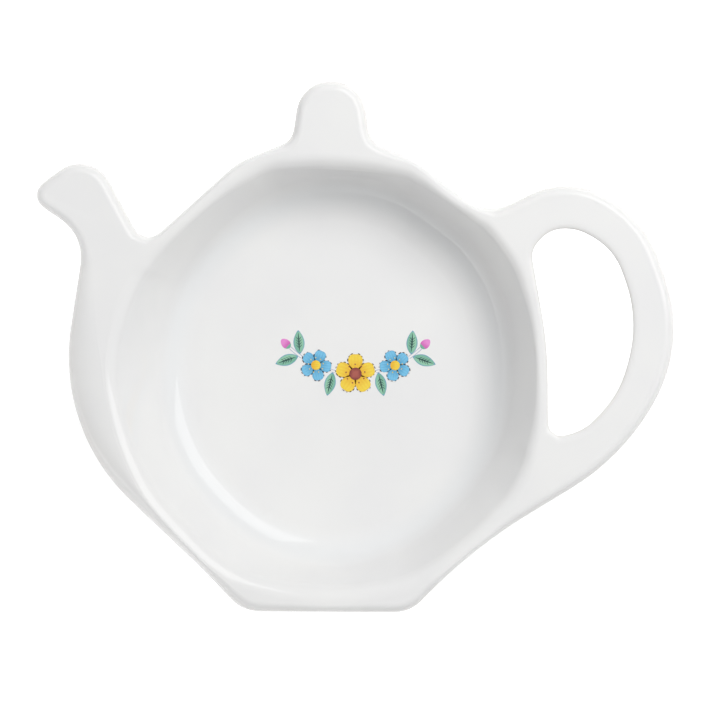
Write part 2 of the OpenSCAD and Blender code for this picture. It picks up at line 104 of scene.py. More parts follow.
# The glazed floor is a little longer than the clay's. By the handle its fillet is wide and the
# rim's roll tight
GLAZED_FLOOR_RY, HANDLE_FILLET_R, HANDLE_ROLL_R = 30.5, 10.6, 2.8
HANDLE_SIDE, HANDLE_FADE = (35, 130), 1.5
ROLL_PER_PULL, LEAST_ROLL_R = 0.9, 1.0
# The finger gap lies a little further out, and the middle of the recess a little higher
GAP_SHIFT, RECESS_RISE = 0.35, 0.35

FLOOR_Z = FOOT_H + FLOOR_T
RIM_Z = FLOOR_Z + WELL_DEPTH
LEFT_X = WELL_RX + FLANK_W
RIGHT_X = WELL_RX - RIM_W
HANDLE_X = RIGHT_X + HANDLE_OUT
SPOUT_X = LEFT_X + SPOUT_OUT
GAP_W = HANDLE_OUT - GRIP_W
GAP_H = HANDLE_RISE - GRIP_TOP_W + GAP_DROP

# Corners of the teapot, counter-clockwise: X, Y and radius as shares of the sizes they follow
BASE_SHIFT_SHARE, BASE_CORNER_SHARE = -0.011, 0.16
HEEL_SHARES = (0.638, -0.748, 2.35)
HANDLE_SHARES = [
    (0.855, -0.411, 0.68), (1.045, 0.187, 0.44), (0.917, 0.832, 0.32), (0.698, 1.061, 0.23),
]
CROTCH_SHARES = (0.706, 0.706, 0.19)
SHOULDER_SHARES = (0.41, 0.938, 0.3)
KNOB_SHIFT_SHARE, KNOB_TOP_SHARE, KNOB_ROOT_SHARE = 0.011, 0.8, 0.2
NOTCH_SHARES = (-0.829, 0.57, 0.068)
SPOUT_SHARES = [(-0.813, 1.076, 0.114), (-1.04, 0.848, 0.0485), (-0.832, 0.662, 0.156)]
BELLY_SHARES = (-1.06, -0.232, 0.74)
BEND_SHARES = (-0.565, -0.849, 0.91)
GAP_SHARES = [
    (0.006, -0.02, 0.054), (0, 0.433, 1.9), (-0.204, 0.899, 0.087), (0.03, 1.003, 0.145),
    (0.353, 1.003, 0.22), (0.772, 0.903, 0.3), (1.078, 0.559, 0.64), (0.838, 0.203, 0.5),
    (0.437, 0.025, 0.25),
]
# Shares of a straight wall, or of a rounding, at which the tabs are parted from the body
HANDLE_LOW_SHARE, HANDLE_HIGH_SHARE, KNOB_FOOT_SHARE = 0.86, 0.566, 0.338
SPOUT_HIGH_SHARE, SPOUT_LOW_SHARE = 0.757, 0.086
GAP_LOW_SHARE, GAP_HIGH_SHARE = 0.27, 0.577
# Bearings where the rim is drawn in to keep its least width, each with its half width
PINCHES = [(3, 30), (56, 14), (130, 25), (228, 18), (309, 20)]
REACH_TURN, FOLLOW_SHARE = 4, 0.3
FLANK_TURNS = (150, 182, 225, 262)
# The underside's wall is bent, and reaches further out under the sloping shoulder
WALL_BEND, SHOULDER_REACH = 2, 0.6
# Spacing of points along the outline and along an arc, and how finely points are told apart
STEP, ARC_STEP, PLACES_PER_MM = 0.6, 0.1, 2000
TAB_BORDERS, HALVINGS = (0.2, 0.08), 30


def unit(v):
    return v / np.linalg.norm(v, axis=-1, keepdims=True)


def mix(a, b, t):
    return a + (b - a) * t


def smooth(t):
    s = np.clip(t, 0, 1)
    return s * s * (3 - 2 * s)


def scaled(share, x, y):
    return (share[0] * x, share[1] * y, share[2] * x)


def mirrored(corner):
    return (-corner[0], corner[1], corner[2])


def teapot_corners():
    knob_x = KNOB_SHIFT_SHARE * WELL_RX
    base_x = BASE_SHIFT_SHARE * WELL_RX
    base_y, lid_y = WELL_RY + BASE_RIM, WELL_RY + LID_RIM
    knob_top = KNOB_TOP_SHARE * KNOB_W / 2
    knob_root = KNOB_ROOT_SHARE * KNOB_W
    shoulder = scaled(SHOULDER_SHARES, WELL_RX, WELL_RY)
    return [
        (base_x + BASE_LEN / 2, -base_y, BASE_CORNER_SHARE * WELL_RX),
        scaled(HEEL_SHARES, WELL_RX, WELL_RY),
        *(scaled(share, HANDLE_X, HANDLE_RISE) for share in HANDLE_SHARES),
        scaled(CROTCH_SHARES, WELL_RX, WELL_RY),
        shoulder,
        (knob_x + KNOB_W / 2, lid_y, knob_root),
        (knob_x + knob_top, lid_y + KNOB_H, KNOB_R),
        (knob_x - knob_top, lid_y + KNOB_H, KNOB_R),
        (knob_x - KNOB_W / 2, lid_y, knob_root),
        mirrored(shoulder),
        scaled(NOTCH_SHARES, WELL_RX, WELL_RY),
        *(scaled(share, SPOUT_X, SPOUT_RISE) for share in SPOUT_SHARES),
        scaled(BELLY_SHARES, LEFT_X, WELL_RY),
        scaled(BEND_SHARES, WELL_RX, WELL_RY),
        (base_x - BASE_LEN / 2, -base_y, BASE_CORNER_SHARE * WELL_RX),
    ]


TEAPOT = teapot_corners()
FINGER_GAP = [(RIGHT_X + GAP_SHIFT + x * GAP_W, y * GAP_H - GAP_DROP, r * GAP_H)
              for x, y, r in GAP_SHARES]


def rounding(corners, i, start=0.0, end=1.0):
    """Points of the arc that rounds corner i, or of a stretch of it."""
    count = len(corners)
    here, before, after = (np.array(corners[(i + k) % count][:2]) for k in (0, -1, 1))
    u, v = unit(before - here), unit(after - here)
    half = math.acos(float(np.clip(u @ v, -1, 1))) / 2
    r = corners[i % count][2]
    heart = here + unit(u + v) * r / math.sin(half)
    first = here + u * r / math.tan(half) - heart
    turn = (math.pi - 2 * half) * math.copysign(1, v[0] * u[1] - v[1] * u[0])
    steps = max(2, math.ceil(abs(turn) * r * (end - start) / ARC_STEP))
    a = turn * np.linspace(start, end, steps + 1)
    return heart + np.stack([first[0] * np.cos(a) - first[1] * np.sin(a),
                             first[0] * np.sin(a) + first[1] * np.cos(a)], 1)


def wall_point(corners, i, share):
    return mix(rounding(corners, i)[-1:], rounding(corners, i + 1)[:1], share)


def run(corners, i, j):
    return np.concatenate([rounding(corners, k) for k in range(i, j + 1)])


def even_points(*pieces):
    """One stretch of the outline as evenly spaced points, without its last."""
    line = np.concatenate(pieces)
    gaps = np.linalg.norm(np.diff(line, axis=0), axis=1)
    along = np.concatenate([[0], np.cumsum(gaps)])
    count = max(4, round(along[-1] / STEP))
    at = np.linspace(0, along[-1], count + 1)[:-1]
    return np.stack([np.interp(at, along, line[:, k]) for k in (0, 1)], 1)


def softened(loop, reach=1.6):
    """The loop with the jumps in its curvature evened out over a few points."""
    steps = np.arange(-8, 9)
    weights = np.exp(-0.5 * (steps / reach) ** 2)
    weights /= weights.sum()
    return sum(w * np.roll(loop, -s, axis=0) for s, w in zip(steps, weights))


handle_low = wall_point(TEAPOT, 1, HANDLE_LOW_SHARE)
handle_high = wall_point(TEAPOT, 5, HANDLE_HIGH_SHARE)
knob_right = wall_point(TEAPOT, 8, KNOB_FOOT_SHARE)
knob_left = wall_point(TEAPOT, 10, 1 - KNOB_FOOT_SHARE)
spout_low = wall_point(TEAPOT, 16, SPOUT_LOW_SHARE)
gap_high = wall_point(FINGER_GAP, 2, GAP_HIGH_SHARE)
notch_out = rounding(TEAPOT, 13, 0, SPOUT_HIGH_SHARE)
notch_in = rounding(TEAPOT, 13, SPOUT_HIGH_SHARE, 1)

# Stretches of the outline from one tab to the next, and the point at which each begins
stretches = [
    even_points(handle_low, run(TEAPOT, 2, 5), handle_high),
    even_points(handle_high, run(TEAPOT, 6, 8), knob_right),
    even_points(knob_right, run(TEAPOT, 9, 10), knob_left),
    even_points(knob_left, run(TEAPOT, 11, 12), notch_out),
    even_points(notch_in, run(TEAPOT, 14, 16), spout_low),
    even_points(spout_low, run(TEAPOT, 17, 21), handle_low),
]
LID, KNOB, NOTCH, SPOUT, BELLY = np.cumsum([len(s) for s in stretches[:-1]])
outline = np.concatenate(stretches)
MIDDLE = (outline.max(0) + outline.min(0)) / 2
outline = softened(outline)
gap_stretches = [
    even_points(rounding(FINGER_GAP, 0, GAP_LOW_SHARE, 1), run(FINGER_GAP, 1, 2), gap_high),
    even_points(gap_high, run(FINGER_GAP, 3, 8), rounding(FINGER_GAP, 0, 0, GAP_LOW_SHARE)),
]
GAP_GRIP = len(gap_stretches[0])
gap_outline = softened(np.concatenate(gap_stretches))
# Ends of the straight roots at which the tabs are parted from the body
ROOTS = [("outline", 0, "gap", 0), ("gap", GAP_GRIP, "outline", LID),
         ("outline", KNOB, "outline", NOTCH), ("outline", SPOUT, "outline", BELLY)]
LEAN_REACH = 6.0


def inward_of(loop):
    """Unit direction from each point of a loop into the clay on its left."""
    ahead = np.roll(loop, -1, axis=0) - np.roll(loop, 1, axis=0)
    return unit(np.stack([-ahead[:, 1], ahead[:, 0]], 1))


def lean_sections():
    """Turns the sections near a root, little by little, until those at its ends lie along it."""
    loops = {"outline": (outline, inward_of(outline)), "gap": (gap_outline, inward_of(gap_outline))}
    leans = {name: np.zeros_like(loop) for name, (loop, inward) in loops.items()}
    for first, i, second, j in ROOTS:
        for name, k, other in ((first, i, loops[second][0][j]), (second, j, loops[first][0][i])):
            loop, inward = loops[name]
            across = unit(other - loop[k])
            along = np.stack([inward[:, 1], -inward[:, 0]], 1)
            lean = (across @ along[k]) / (across @ inward[k])
            steps = np.abs((np.arange(len(loop)) - k + len(loop) / 2) % len(loop) - len(loop) / 2)
            fade = np.maximum(1 - steps * STEP / LEAN_REACH, 0) ** 2
            leans[name] += along * (lean * fade)[:, None]
    return tuple(loops[name][1] + leans[name] for name in ("outline", "gap"))


outline_in, gap_in = lean_sections()


# The well in plan
def bearing(p):
    return np.degrees(np.arctan2(p[..., 1], p[..., 0])) % 360


def off_bearing(a, b):
    return np.abs((a - b + 540) % 360 - 180)


def ellipse_at(a, rx, ry):
    """Reach of an ellipse on a bearing."""
    t = np.radians(a)
    return 1 / np.hypot(np.cos(t) / rx, np.sin(t) / ry)


def edge_reach(a):
    """How close the outline comes to the middle of the well on a bearing."""
    near = np.concatenate([outline, gap_outline[:GAP_GRIP]])
    return np.linalg.norm(near[off_bearing(bearing(near), a) < REACH_TURN], axis=1).min()


PINCH_DEPTHS = [max(ellipse_at(b, WELL_RX, WELL_RY) - edge_reach(b) + RIM_W, 0)
                for b, half in PINCHES]


def window(a, b, half):
    """One on bearing b, falling smoothly to none half a width to each side."""
    return np.cos(np.minimum(off_bearing(a, b) / half, 1) * math.pi / 2) ** 2


def pull_at(a):
    return sum(depth * window(a, b, half) for (b, half), depth in zip(PINCHES, PINCH_DEPTHS))


def flank_at(a):
    """How much of the sloping shoulder a bearing has, from none to all."""
    up, full, start, gone = FLANK_TURNS
    return smooth((a - up) / (full - up)) * (1 - smooth((a - start) / (gone - start)))


def ridge_at(a):
    """The highest line of the rim: a little wider than the clay's where the rim has room, and
    drawn in over the sloping shoulder and the base."""
    pull = pull_at(a)
    draw = sum(depth * window(a, b, half) for b, half, depth in DRAWN_IN)
    spread = RIM_SPREAD * (1 - smooth((pull + draw) / SPREAD_FADE))
    return ellipse_at(a, WELL_RX, WELL_RY) - pull - draw + spread


# Section of the edge
UNDER_TURNS = np.radians(np.linspace(90, 0, 8)[:-1])
EDGE_TURNS = np.radians(np.linspace(0, 90, 13))
# The shoulder on the spout side, as shares of its width and of its fall
SHOULDER_LINE = [
    (0, 1), (0, 0.87), (0.01, 0.75), (0.035, 0.64), (0.08, 0.55), (0.15, 0.46), (0.25, 0.365),
    (0.37, 0.27), (0.5, 0.187), (0.63, 0.118), (0.76, 0.064), (0.88, 0.024), (1, 0),
]
EDGE_ROW = len(UNDER_TURNS)
TOP_ROW = EDGE_ROW + len(EDGE_TURNS) - 1
spout_line = unit(notch_in[0] - spout_low[0])
SPOUT_CUT = np.array([-spout_line[1], spout_line[0]])
SPOUT_LEN = max((outline - spout_low[0]) @ SPOUT_CUT)


def spout_fall(q, falls):
    """The spout starts level at its root and dips towards its mouth."""
    if not falls:
        return 0 * q[..., 0]
    out = np.maximum((q - spout_low[0]) @ SPOUT_CUT, 0)
    return SPOUT_DIP * (out / SPOUT_LEN) ** 2


def edge_sections(p, inward, falls=False, round_w=EDGE_W, round_h=EDGE_R):
    """Sections of the rounded edge, one for each point: underside first, top last."""
    a = bearing(p)
    land = np.linalg.norm(p, axis=1) - ridge_at(a)
    flank = flank_at(a)
    high = mix(round_h, FLANK_DROP, flank)
    edge_w = np.minimum(round_w, EDGE_ROOM * land)
    rows = []
    for t in UNDER_TURNS:
        q = p + inward * (UNDER_W * (1 - math.cos(t)))
        rows.append(np.c_[q, RIM_Z - high - (TAB_T - round_h) * math.sin(t) - spout_fall(q, falls)])
    for t, (across, fall) in zip(EDGE_TURNS, SHOULDER_LINE):
        wide = mix(edge_w * (1 - math.cos(t)), SHOULDER_ROOM * land * across, flank)
        drop = mix(round_h * (1 - math.sin(t)), FLANK_DROP * fall, flank)
        q = p + inward * wide[:, None]
        rows.append(np.c_[q, RIM_Z - drop - spout_fall(q, falls)])
    return np.stack(rows, 1)


def root_line(a, b):
    """Sections across a root, from one end to the other, without the ends."""
    count = max(6, round(np.linalg.norm(a[EDGE_ROW, :2] - b[EDGE_ROW, :2]) / STEP))
    return np.stack([mix(a, b, k / count) for k in range(1, count)])


outline_sections = edge_sections(outline, outline_in)
gap_sections = edge_sections(gap_outline, gap_in, round_w=GAP_EDGE_W, round_h=GAP_EDGE_H)
root_ends = [
    (outline_sections[0], gap_sections[0]),
    (gap_sections[GAP_GRIP], outline_sections[LID]),
    (outline_sections[KNOB], outline_sections[NOTCH]),
    (outline_sections[SPOUT], outline_sections[BELLY]),
]
# A section or two beside some roots are left out, where the rim's inner line turns a sharp corner
body_runs = [
    gap_sections[3:GAP_GRIP], outline_sections[LID + 1:KNOB], outline_sections[NOTCH + 1:SPOUT - 2],
    outline_sections[BELLY + 1:],
]


def body_loop():
    """Sections right round the body, and which columns run across a root."""
    parts, on_root = [], []
    for (a, b), after in zip(root_ends, body_runs):
        across = np.concatenate([a[None], root_line(a, b), b[None]])
        parts += [across, after]
        on_root += [True] * (len(across) - 1) + [False] * (len(after) + 1)
    return np.concatenate(parts), np.array(on_root)


body, body_on_root = body_loop()


# Meshes of the glazed pieces
class Clay:
    """Points and faces of one glazed piece. Cut faces lie where two pieces meet."""

    def __init__(self, name):
        self.name, self.points, self.faces, self.cut = name, [], [], []
        self.pool, self.thin_glaze_and_shade = [], []

    def add(self, points, pool=0.0, thin_glaze_and_shade=0.0):
        """Adds points, with how much glaze has pooled there and how darkly the edge line is painted:
        partly thin glaze, partly painted shade.
        """
        first = len(self.points)
        self.points += [tuple(p) for p in points]
        self.pool += list(np.broadcast_to(pool, len(points)))
        self.thin_glaze_and_shade += list(np.broadcast_to(thin_glaze_and_shade, len(points)))
        return np.arange(first, first + len(points))

    def grid(self, rows, cut=None):
        """Skins closed rings of points. cut marks the columns that are cut faces."""
        n = len(rows[0])
        for low, high in zip(rows[:-1], rows[1:]):
            for i in range(n):
                j = (i + 1) % n
                self.faces.append((low[i], low[j], high[j], high[i]))
                self.cut.append(bool(cut is not None and cut[i]))

    def fan(self, ring, tip, up):
        for i in range(len(ring)):
            a, b = ring[i], ring[(i + 1) % len(ring)]
            self.faces.append((a, b, tip) if up else (b, a, tip))
            self.cut.append(False)

    def edge_rows(self, sections):
        """The rings of the rounded edge. Its outermost line is painted darker: partly glaze drawn
        thin, partly painted shade of the steep edge.
        """
        rows = []
        for k in range(sections.shape[1]):
            # Painted shade along the edge's outermost line, taken partly for glaze drawn thin
            thin_glaze_and_shade = math.exp(-((k - EDGE_ROW - 3) / 3.0) ** 2)
            rows.append(self.add(sections[:, k], thin_glaze_and_shade=thin_glaze_and_shade))
        return rows


def wall_slope(wide, crest, roll, fillet):
    """Slope of the wall that joins the rim's roll to the fillet over the given width."""
    low, high = np.full_like(wide, 0.5), np.full_like(wide, 1.5)
    turn = math.radians(CREST_TURN)
    for halving in range(HALVINGS):
        s = (low + high) / 2
        across = crest * math.sin(turn) + roll * (np.sin(s) - math.sin(turn)) + fillet * np.sin(s)
        down = crest * (1 - math.cos(turn)) + roll * (math.cos(turn) - np.cos(s))
        down = down + fillet * (1 - np.cos(s)) + (wide - across) * np.tan(s)
        low, high = np.where(down < WELL_DEPTH, s, low), np.where(down < WELL_DEPTH, high, s)
    return (low + high) / 2


def well_rows(a):
    """Rings of the well on the given bearings, from the ridge of the rim to the floor."""
    ridge, pull, flank = ridge_at(a), pull_at(a), flank_at(a % 360)
    flat = ellipse_at(a, FLOOR_RX, GLAZED_FLOOR_RY) - FOLLOW_SHARE * pull
    handle = window(a, *HANDLE_SIDE) ** HANDLE_FADE
    fillet = mix(FILLET_R, HANDLE_FILLET_R, handle)
    wide = ridge - flat
    rim_roll = mix(RIM_ROLL_R, HANDLE_ROLL_R, handle) - ROLL_PER_PULL * pull
    rim_roll = np.maximum(rim_roll, LEAST_ROLL_R)
    crest = mix(rim_roll, CREST_R, flank)
    roll = mix(rim_roll, SHOULDER_ROLL_R, flank)
    slope = wall_slope(wide, crest, roll, fillet)
    turn = math.radians(CREST_TURN)
    rows = []
    for t in np.linspace(0, turn, 4)[:-1]:
        rows.append((ridge - crest * math.sin(t), RIM_Z - crest * (1 - math.cos(t)), 0))
    head = ridge - crest * math.sin(turn)
    head_z = RIM_Z - crest * (1 - math.cos(turn))
    for k in np.linspace(0, 1, 11):
        t = mix(turn, slope, k)
        r = head - roll * (np.sin(t) - math.sin(turn))
        rows.append((r, head_z - roll * (math.cos(turn) - np.cos(t)), 0))
    top = rows[-1]
    low = (flat + fillet * np.sin(slope), FLOOR_Z + fillet * (1 - np.cos(slope)))
    for t in (0.25, 0.5, 0.75):
        rows.append((mix(top[0], low[0], t), mix(top[1], low[1], t), 0))
    for t in np.linspace(1, 0, 19):
        pool = math.sin(t * math.pi) ** 2
        rows.append((flat + fillet * np.sin(slope * t),
                     FLOOR_Z + fillet * (1 - np.cos(slope * t)), pool))
    for t in (0.85, 0.6, 0.3):
        rows.append((flat * t, FLOOR_Z + 0 * flat, 0))
    to = np.stack([np.cos(np.radians(a)), np.sin(np.radians(a))], 1)
    return [(np.c_[to * r[:, None], z], pool) for r, z, pool in rows]


def bearings(row):
    """Bearings of a ring's points, always growing, with small jumps evened out."""
    a = np.unwrap(np.radians(bearing(row)))
    even = np.linspace(0, 2 * math.pi, len(a), endpoint=False)
    off = a - even
    off = sum(np.roll(off, k) for k in range(-3, 4)) / 7
    return np.degrees(off + even)


def under_rows(clay):
    """Rings of the underside, from the middle of the recess out to the rim."""
    first = body[:, 0]
    a = bearings(first)
    to = np.stack([np.cos(np.radians(a)), np.sin(np.radians(a))], 1)
    seat = FOOT_R + FOOT_EDGE
    recess = FOOT_R - FOOT_W
    reach = np.linalg.norm(first[:, :2], axis=1)
    head = mix(ridge_at(a) - RIM_W, reach, SHOULDER_REACH * flank_at(a % 360))
    rows = []
    # The floor of the recess rises a little towards its middle, with glaze pooled at its rim
    for t in (0.25, 0.5, 0.75, 0.9, 0.97):
        z = FOOT_H + RECESS_RISE * (1 - t * t)
        rows.append(clay.add(np.c_[to * recess * t, np.full(len(to), z)], pool=t ** 6))
    rows.append(clay.add(np.c_[to * recess, np.full(len(to), FOOT_H)], pool=0.6))
    rows.append(clay.add(np.c_[to * FOOT_R, np.full(len(to), FOOT_H)]))
    for t in np.linspace(1, 0, 14):
        r = mix(head, seat, t ** WALL_BEND)
        rows.append(clay.add(np.c_[to * r[:, None], mix(first[:, 2], FOOT_H, t)],
                             pool=max(0, 3 * t - 2) ** 2))
    for t in (0.35, 0.7, 0.93):
        rows.append(clay.add(mix(np.c_[to * head[:, None], first[:, 2]], first, t)))
    return rows


def make_bowl():
    clay = Clay("bowl")
    rows = under_rows(clay)
    edge_first = len(rows)
    rows += clay.edge_rows(body)
    # Flat of the rim, then the well
    top = body[:, TOP_ROW]
    well = well_rows(bearings(top))
    for t in (0.08, 0.25, 0.5, 0.75, 0.92):
        rows.append(clay.add(mix(top, well[0][0], t)))
    for points, pool in well:
        rows.append(clay.add(points, pool))
    clay.grid(rows)
    low, high = clay.add([(0, 0, FOOT_H + RECESS_RISE), (0, 0, FLOOR_Z)])
    clay.fan(rows[0], low, False)
    clay.fan(rows[-1], high, True)
    # Faces across a root are hidden inside the joint
    for k in range(edge_first, edge_first + body.shape[1] - 1):
        for i in np.flatnonzero(body_on_root):
            clay.cut[k * len(body) + i] = True
    return clay


def inner_row(sections, inward, row, gap):
    """A ring just inside the edge's first or last ring, level with it."""
    return np.c_[sections[:, row, :2] + inward * gap, sections[:, row, 2]]


def tab_rows(clay, sections, inward, cut):
    """Rings of a tab's edge with a narrow level border above and below."""
    rows = [clay.add(inner_row(sections, inward, 0, gap)) for gap in TAB_BORDERS]
    rows += clay.edge_rows(sections)
    rows += [clay.add(inner_row(sections, inward, -1, gap)) for gap in TAB_BORDERS[::-1]]
    clay.grid(rows, cut=cut)
    return rows


def make_tab(name, sections, inward, heart, falls=False):
    """A tab: its edge, closed across the root, with level faces above and below."""
    clay = Clay(name)
    cut = np.zeros(len(sections), bool)
    cut[-1] = True
    rows = tab_rows(clay, sections, inward, cut)
    z = RIM_Z - spout_fall(np.array(heart), falls)
    low, high = clay.add([(*heart, z - TAB_T), (*heart, z)])
    clay.fan(rows[0], low, False)
    clay.fan(rows[-1], high, True)
    return clay


def make_handle():
    """The handle: a strip between the outline and the finger gap, cut by two roots."""
    clay = Clay("handle")
    sections = np.concatenate([outline_sections[:LID + 1], gap_sections[GAP_GRIP:],
                               gap_sections[:1]])
    inward = np.concatenate([outline_in[:LID + 1], gap_in[GAP_GRIP:], gap_in[:1]])
    cut = np.zeros(len(sections), bool)
    cut[LID] = cut[-1] = True
    rows = tab_rows(clay, sections, inward, cut)
    m, n = LID, len(sections) - LID - 2
    for row, up in ((rows[0], False), (rows[-1], True)):
        outer, inner = list(row[:m + 1]), list(row[m + 1:])[::-1]
        i = j = 0
        while i < m or j < n:
            if j == n or (i < m and (i + 1) / m <= (j + 1) / n):
                face, i = (outer[i], outer[i + 1], inner[j]), i + 1
            else:
                face, j = (outer[i], inner[j + 1], inner[j]), j + 1
            clay.faces.append(face if up else face[::-1])
            clay.cut.append(False)
    return clay


def put(points):
    """Points from the middle of the well, in millimetres, to the part's frame in metres."""
    p = np.asarray(points, float).copy()
    p[:, :2] -= MIDDLE
    return p * MM


def joined_normals(clays):
    """Corner normals that run on from piece to piece, so no joint shows in the glaze."""
    total, keys = {}, []
    for clay in clays:
        p = np.array(clay.points)
        key = [tuple(k) for k in np.round(p * PLACES_PER_MM).astype(int)]
        keys.append(key)
        for face, cut in zip(clay.faces, clay.cut):
            if cut:
                continue
            q = p[list(face)]
            n = np.cross(q[1] - q[0], q[2] - q[0])
            if len(face) == 4:
                n = n + np.cross(q[2] - q[0], q[3] - q[0])
            for v in set(key[i] for i in face):
                total[v] = total.get(v, 0) + n
    for clay, key in zip(clays, keys):
        p = np.array(clay.points)
        normals = []
        for face, cut in zip(clay.faces, clay.cut):
            if cut:
                q = p[list(face)]
                normals += [np.cross(q[1] - q[0], q[2] - q[0])] * len(face)
            else:
                normals += [total[key[i]] for i in face]
        clay.normals = [tuple(n / max(np.linalg.norm(n), 1e-12)) for n in normals]


def glazed_piece(clay, material):
    mesh = bpy.data.meshes.new(clay.name)
    mesh.from_pydata([tuple(p) for p in put(clay.points)], [], [tuple(f) for f in clay.faces])
    # The second attribute darkens the edge line: partly thin glaze, partly painted shade
    for name, values in (("glaze_pool", clay.pool), ("thin_glaze_and_edge_shade", clay.thin_glaze_and_shade)):
        values = np.array(values, float)
        mesh.attributes.new(name, "FLOAT", "POINT").data.foreach_set("value", values)
    mesh.shade_smooth()
    mesh.normals_split_custom_set(clay.normals)
    mesh.materials.append(material)
    keep(bpy.data.objects.new("glazed_" + clay.name, mesh), clay.name)


def keep(piece, node):
    """Links a finished piece, lets it ride the dish and take the place of its CAD node."""
    if piece.name not in bpy.context.scene.collection.objects:
        bpy.context.scene.collection.objects.link(piece)
    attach(piece, BODY)
    if node:
        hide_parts(node)


# Nodes
class Value:
    """A node's output, to reckon with as with a number."""

    def __init__(self, make, socket):
        self.make, self.socket = make, socket

    def __add__(self, other):
        return self.make.math("ADD", self, other)

    def __sub__(self, other):
        return self.make.math("SUBTRACT", self, other)

    def __rsub__(self, other):
        return self.make.math("SUBTRACT", other, self)

    def __mul__(self, other):
        return self.make.math("MULTIPLY", self, other)

    def __truediv__(self, other):
        return self.make.math("DIVIDE", self, other)

    def __rtruediv__(self, other):
        return self.make.math("DIVIDE", other, self)

    def __pow__(self, other):
        return self.make.math("POWER", self, other)

    __radd__, __rmul__ = __add__, __mul__


class Maker:
    """Adds nodes to a shader or geometry tree and joins them up."""

    def __init__(self, tree):
        self.tree = tree

    def feed(self, socket, value):
        if isinstance(value, Value):
            self.tree.links.new(value.socket, socket)
        elif value is not None:
            socket.default_value = value

    def node(self, kind, inputs=None, **settings):
        node = self.tree.nodes.new(kind)
        for key, value in settings.items():
            setattr(node, key, value)
        for key, value in (inputs or {}).items():
            self.feed(node.inputs[key], value)
        return node

    def out(self, kind, inputs=None, output=0, **settings):
        """Adds a node and gives one of its outputs."""
        return Value(self, self.node(kind, inputs, **settings).outputs[output])

    def math(self, operation, *terms):
        return self.out("ShaderNodeMath", dict(enumerate(terms)), operation=operation)

    def blend(self, a, b, share):
        """Mixes two colours."""
        return self.out("ShaderNodeMix", {0: share, 6: a, 7: b}, 2, data_type="RGBA")

    def ramp(self, value, low, high, to_low=0.0, to_high=1.0, kind="SMOOTHSTEP"):
        return self.out("ShaderNodeMapRange", {0: value, 1: low, 2: high, 3: to_low, 4: to_high},
                        interpolation_type=kind)

    def vector(self, x=0.0, y=0.0, z=0.0):
        return self.out("ShaderNodeCombineXYZ", {0: x, 1: y, 2: z})

    def parts(self, vector):
        """X, Y and Z of a vector."""
        return [Value(self, s) for s in self.node("ShaderNodeSeparateXYZ", {0: vector}).outputs]

    def place(self):
        return self.out("ShaderNodeTexCoord", output="Object")

    def attribute(self, name):
        return self.out("ShaderNodeAttribute", output="Fac", attribute_name=name)

    def noise(self, scale, detail=2.0, rough=0.5):
        return self.out("ShaderNodeTexNoise", {
            "Vector": self.place(), "Scale": scale, "Detail": detail, "Roughness": rough}, "Fac")

    def rare_spots(self, scale, channel, above, middle, border, depth):
        """Soft spots in those cells of a pattern whose colour is above a limit in one channel."""
        cells = self.node("ShaderNodeTexVoronoi", {"Vector": self.place(), "Scale": scale})
        colour, distance = (Value(self, cells.outputs[name]) for name in ("Color", "Distance"))
        chosen = self.math("GREATER_THAN", self.out(
            "ShaderNodeSeparateColor", {"Color": colour}, channel), above)
        return chosen * self.ramp(distance, middle, border, depth, 0)


def shader_group(name, inputs, outputs):
    """A shader node group with named inputs, each with its value, and named outputs."""
    tree = bpy.data.node_groups.new(name, "ShaderNodeTree")
    for label, value in inputs.items():
        kind = "NodeSocketColor" if isinstance(value, tuple) else "NodeSocketFloat"
        socket = tree.interface.new_socket(label, in_out="INPUT", socket_type=kind)
        socket.default_value = value
    for label in outputs:
        kind = "NodeSocketColor" if label == "Color" else "NodeSocketFloat"
        tree.interface.new_socket(label, in_out="OUTPUT", socket_type=kind)
    make = Maker(tree)
    given = {s.name: Value(make, s) for s in tree.nodes.new("NodeGroupInput").outputs}
    return tree, make, given, tree.nodes.new("NodeGroupOutput").inputs


def rgb(r, g, b):
    """A colour given as it looks on screen, from 0 to 255, for a shader's colour socket."""
    def linear(v):
        v /= 255
        return v / 12.92 if v <= 0.04045 else ((v + 0.055) / 1.055) ** 2.4
    return (linear(r), linear(g), linear(b), 1.0)


# How many marks of each kind lie across a metre, with heights and depths in millimetres
WAVES, WAVE_H = 38.0, 0.1
PEEL, PEEL_H = 900.0, 0.0012
PINHOLES, PINHOLE_DEPTH = 260.0, 0.01
CLOUDS, SMEARS, THIN_GLAZE_AND_SHADE_PATCHES, SPECKS = 55.0, 120.0, 240.0, 190.0
CLAY_GRAIN, GRAIN_H, SOIL_PATCHES, SOIL_H = 2600.0, 0.03, 160.0, 0.35
INK_POOLS, INK_GRAIN = 650.0, 3200.0
GLAZE_ROUGHNESS, BARE_ROUGHNESS = (0.018, 0.034), (0.72, 0.9)
# The edge line's darkening is partly thin glaze and partly painted shade
GLAZE_IOR, POOL_COOL, THIN_GLAZE_AND_SHADE_DARK = 1.5, 0.6, 1.2
# Colour from which on a cell of a pattern holds a mark: pinholes are rare and specks rarer
PINHOLE_CHANCE, SPECK_CHANCE = 0.93, 0.985


def glaze_surface_group():
    """Waves, orange peel and pinholes of a dipped glaze, as a height and a roughness."""
    tree, make, given, out = shader_group(
        "glaze_surface", {"Pinholes": 1.0}, ("Height", "Roughness"))
    hole = make.rare_spots(PINHOLES, 0, PINHOLE_CHANCE, 0.02, 0.06, 1)
    height = make.noise(WAVES, 1.0) * WAVE_H + make.noise(PEEL) * PEEL_H
    make.feed(out["Height"], height - hole * (given["Pinholes"] * PINHOLE_DEPTH))
    smear = make.noise(SMEARS, 3.0)
    make.feed(out["Roughness"], make.ramp(smear, 0.3, 0.7, *GLAZE_ROUGHNESS))
    return tree


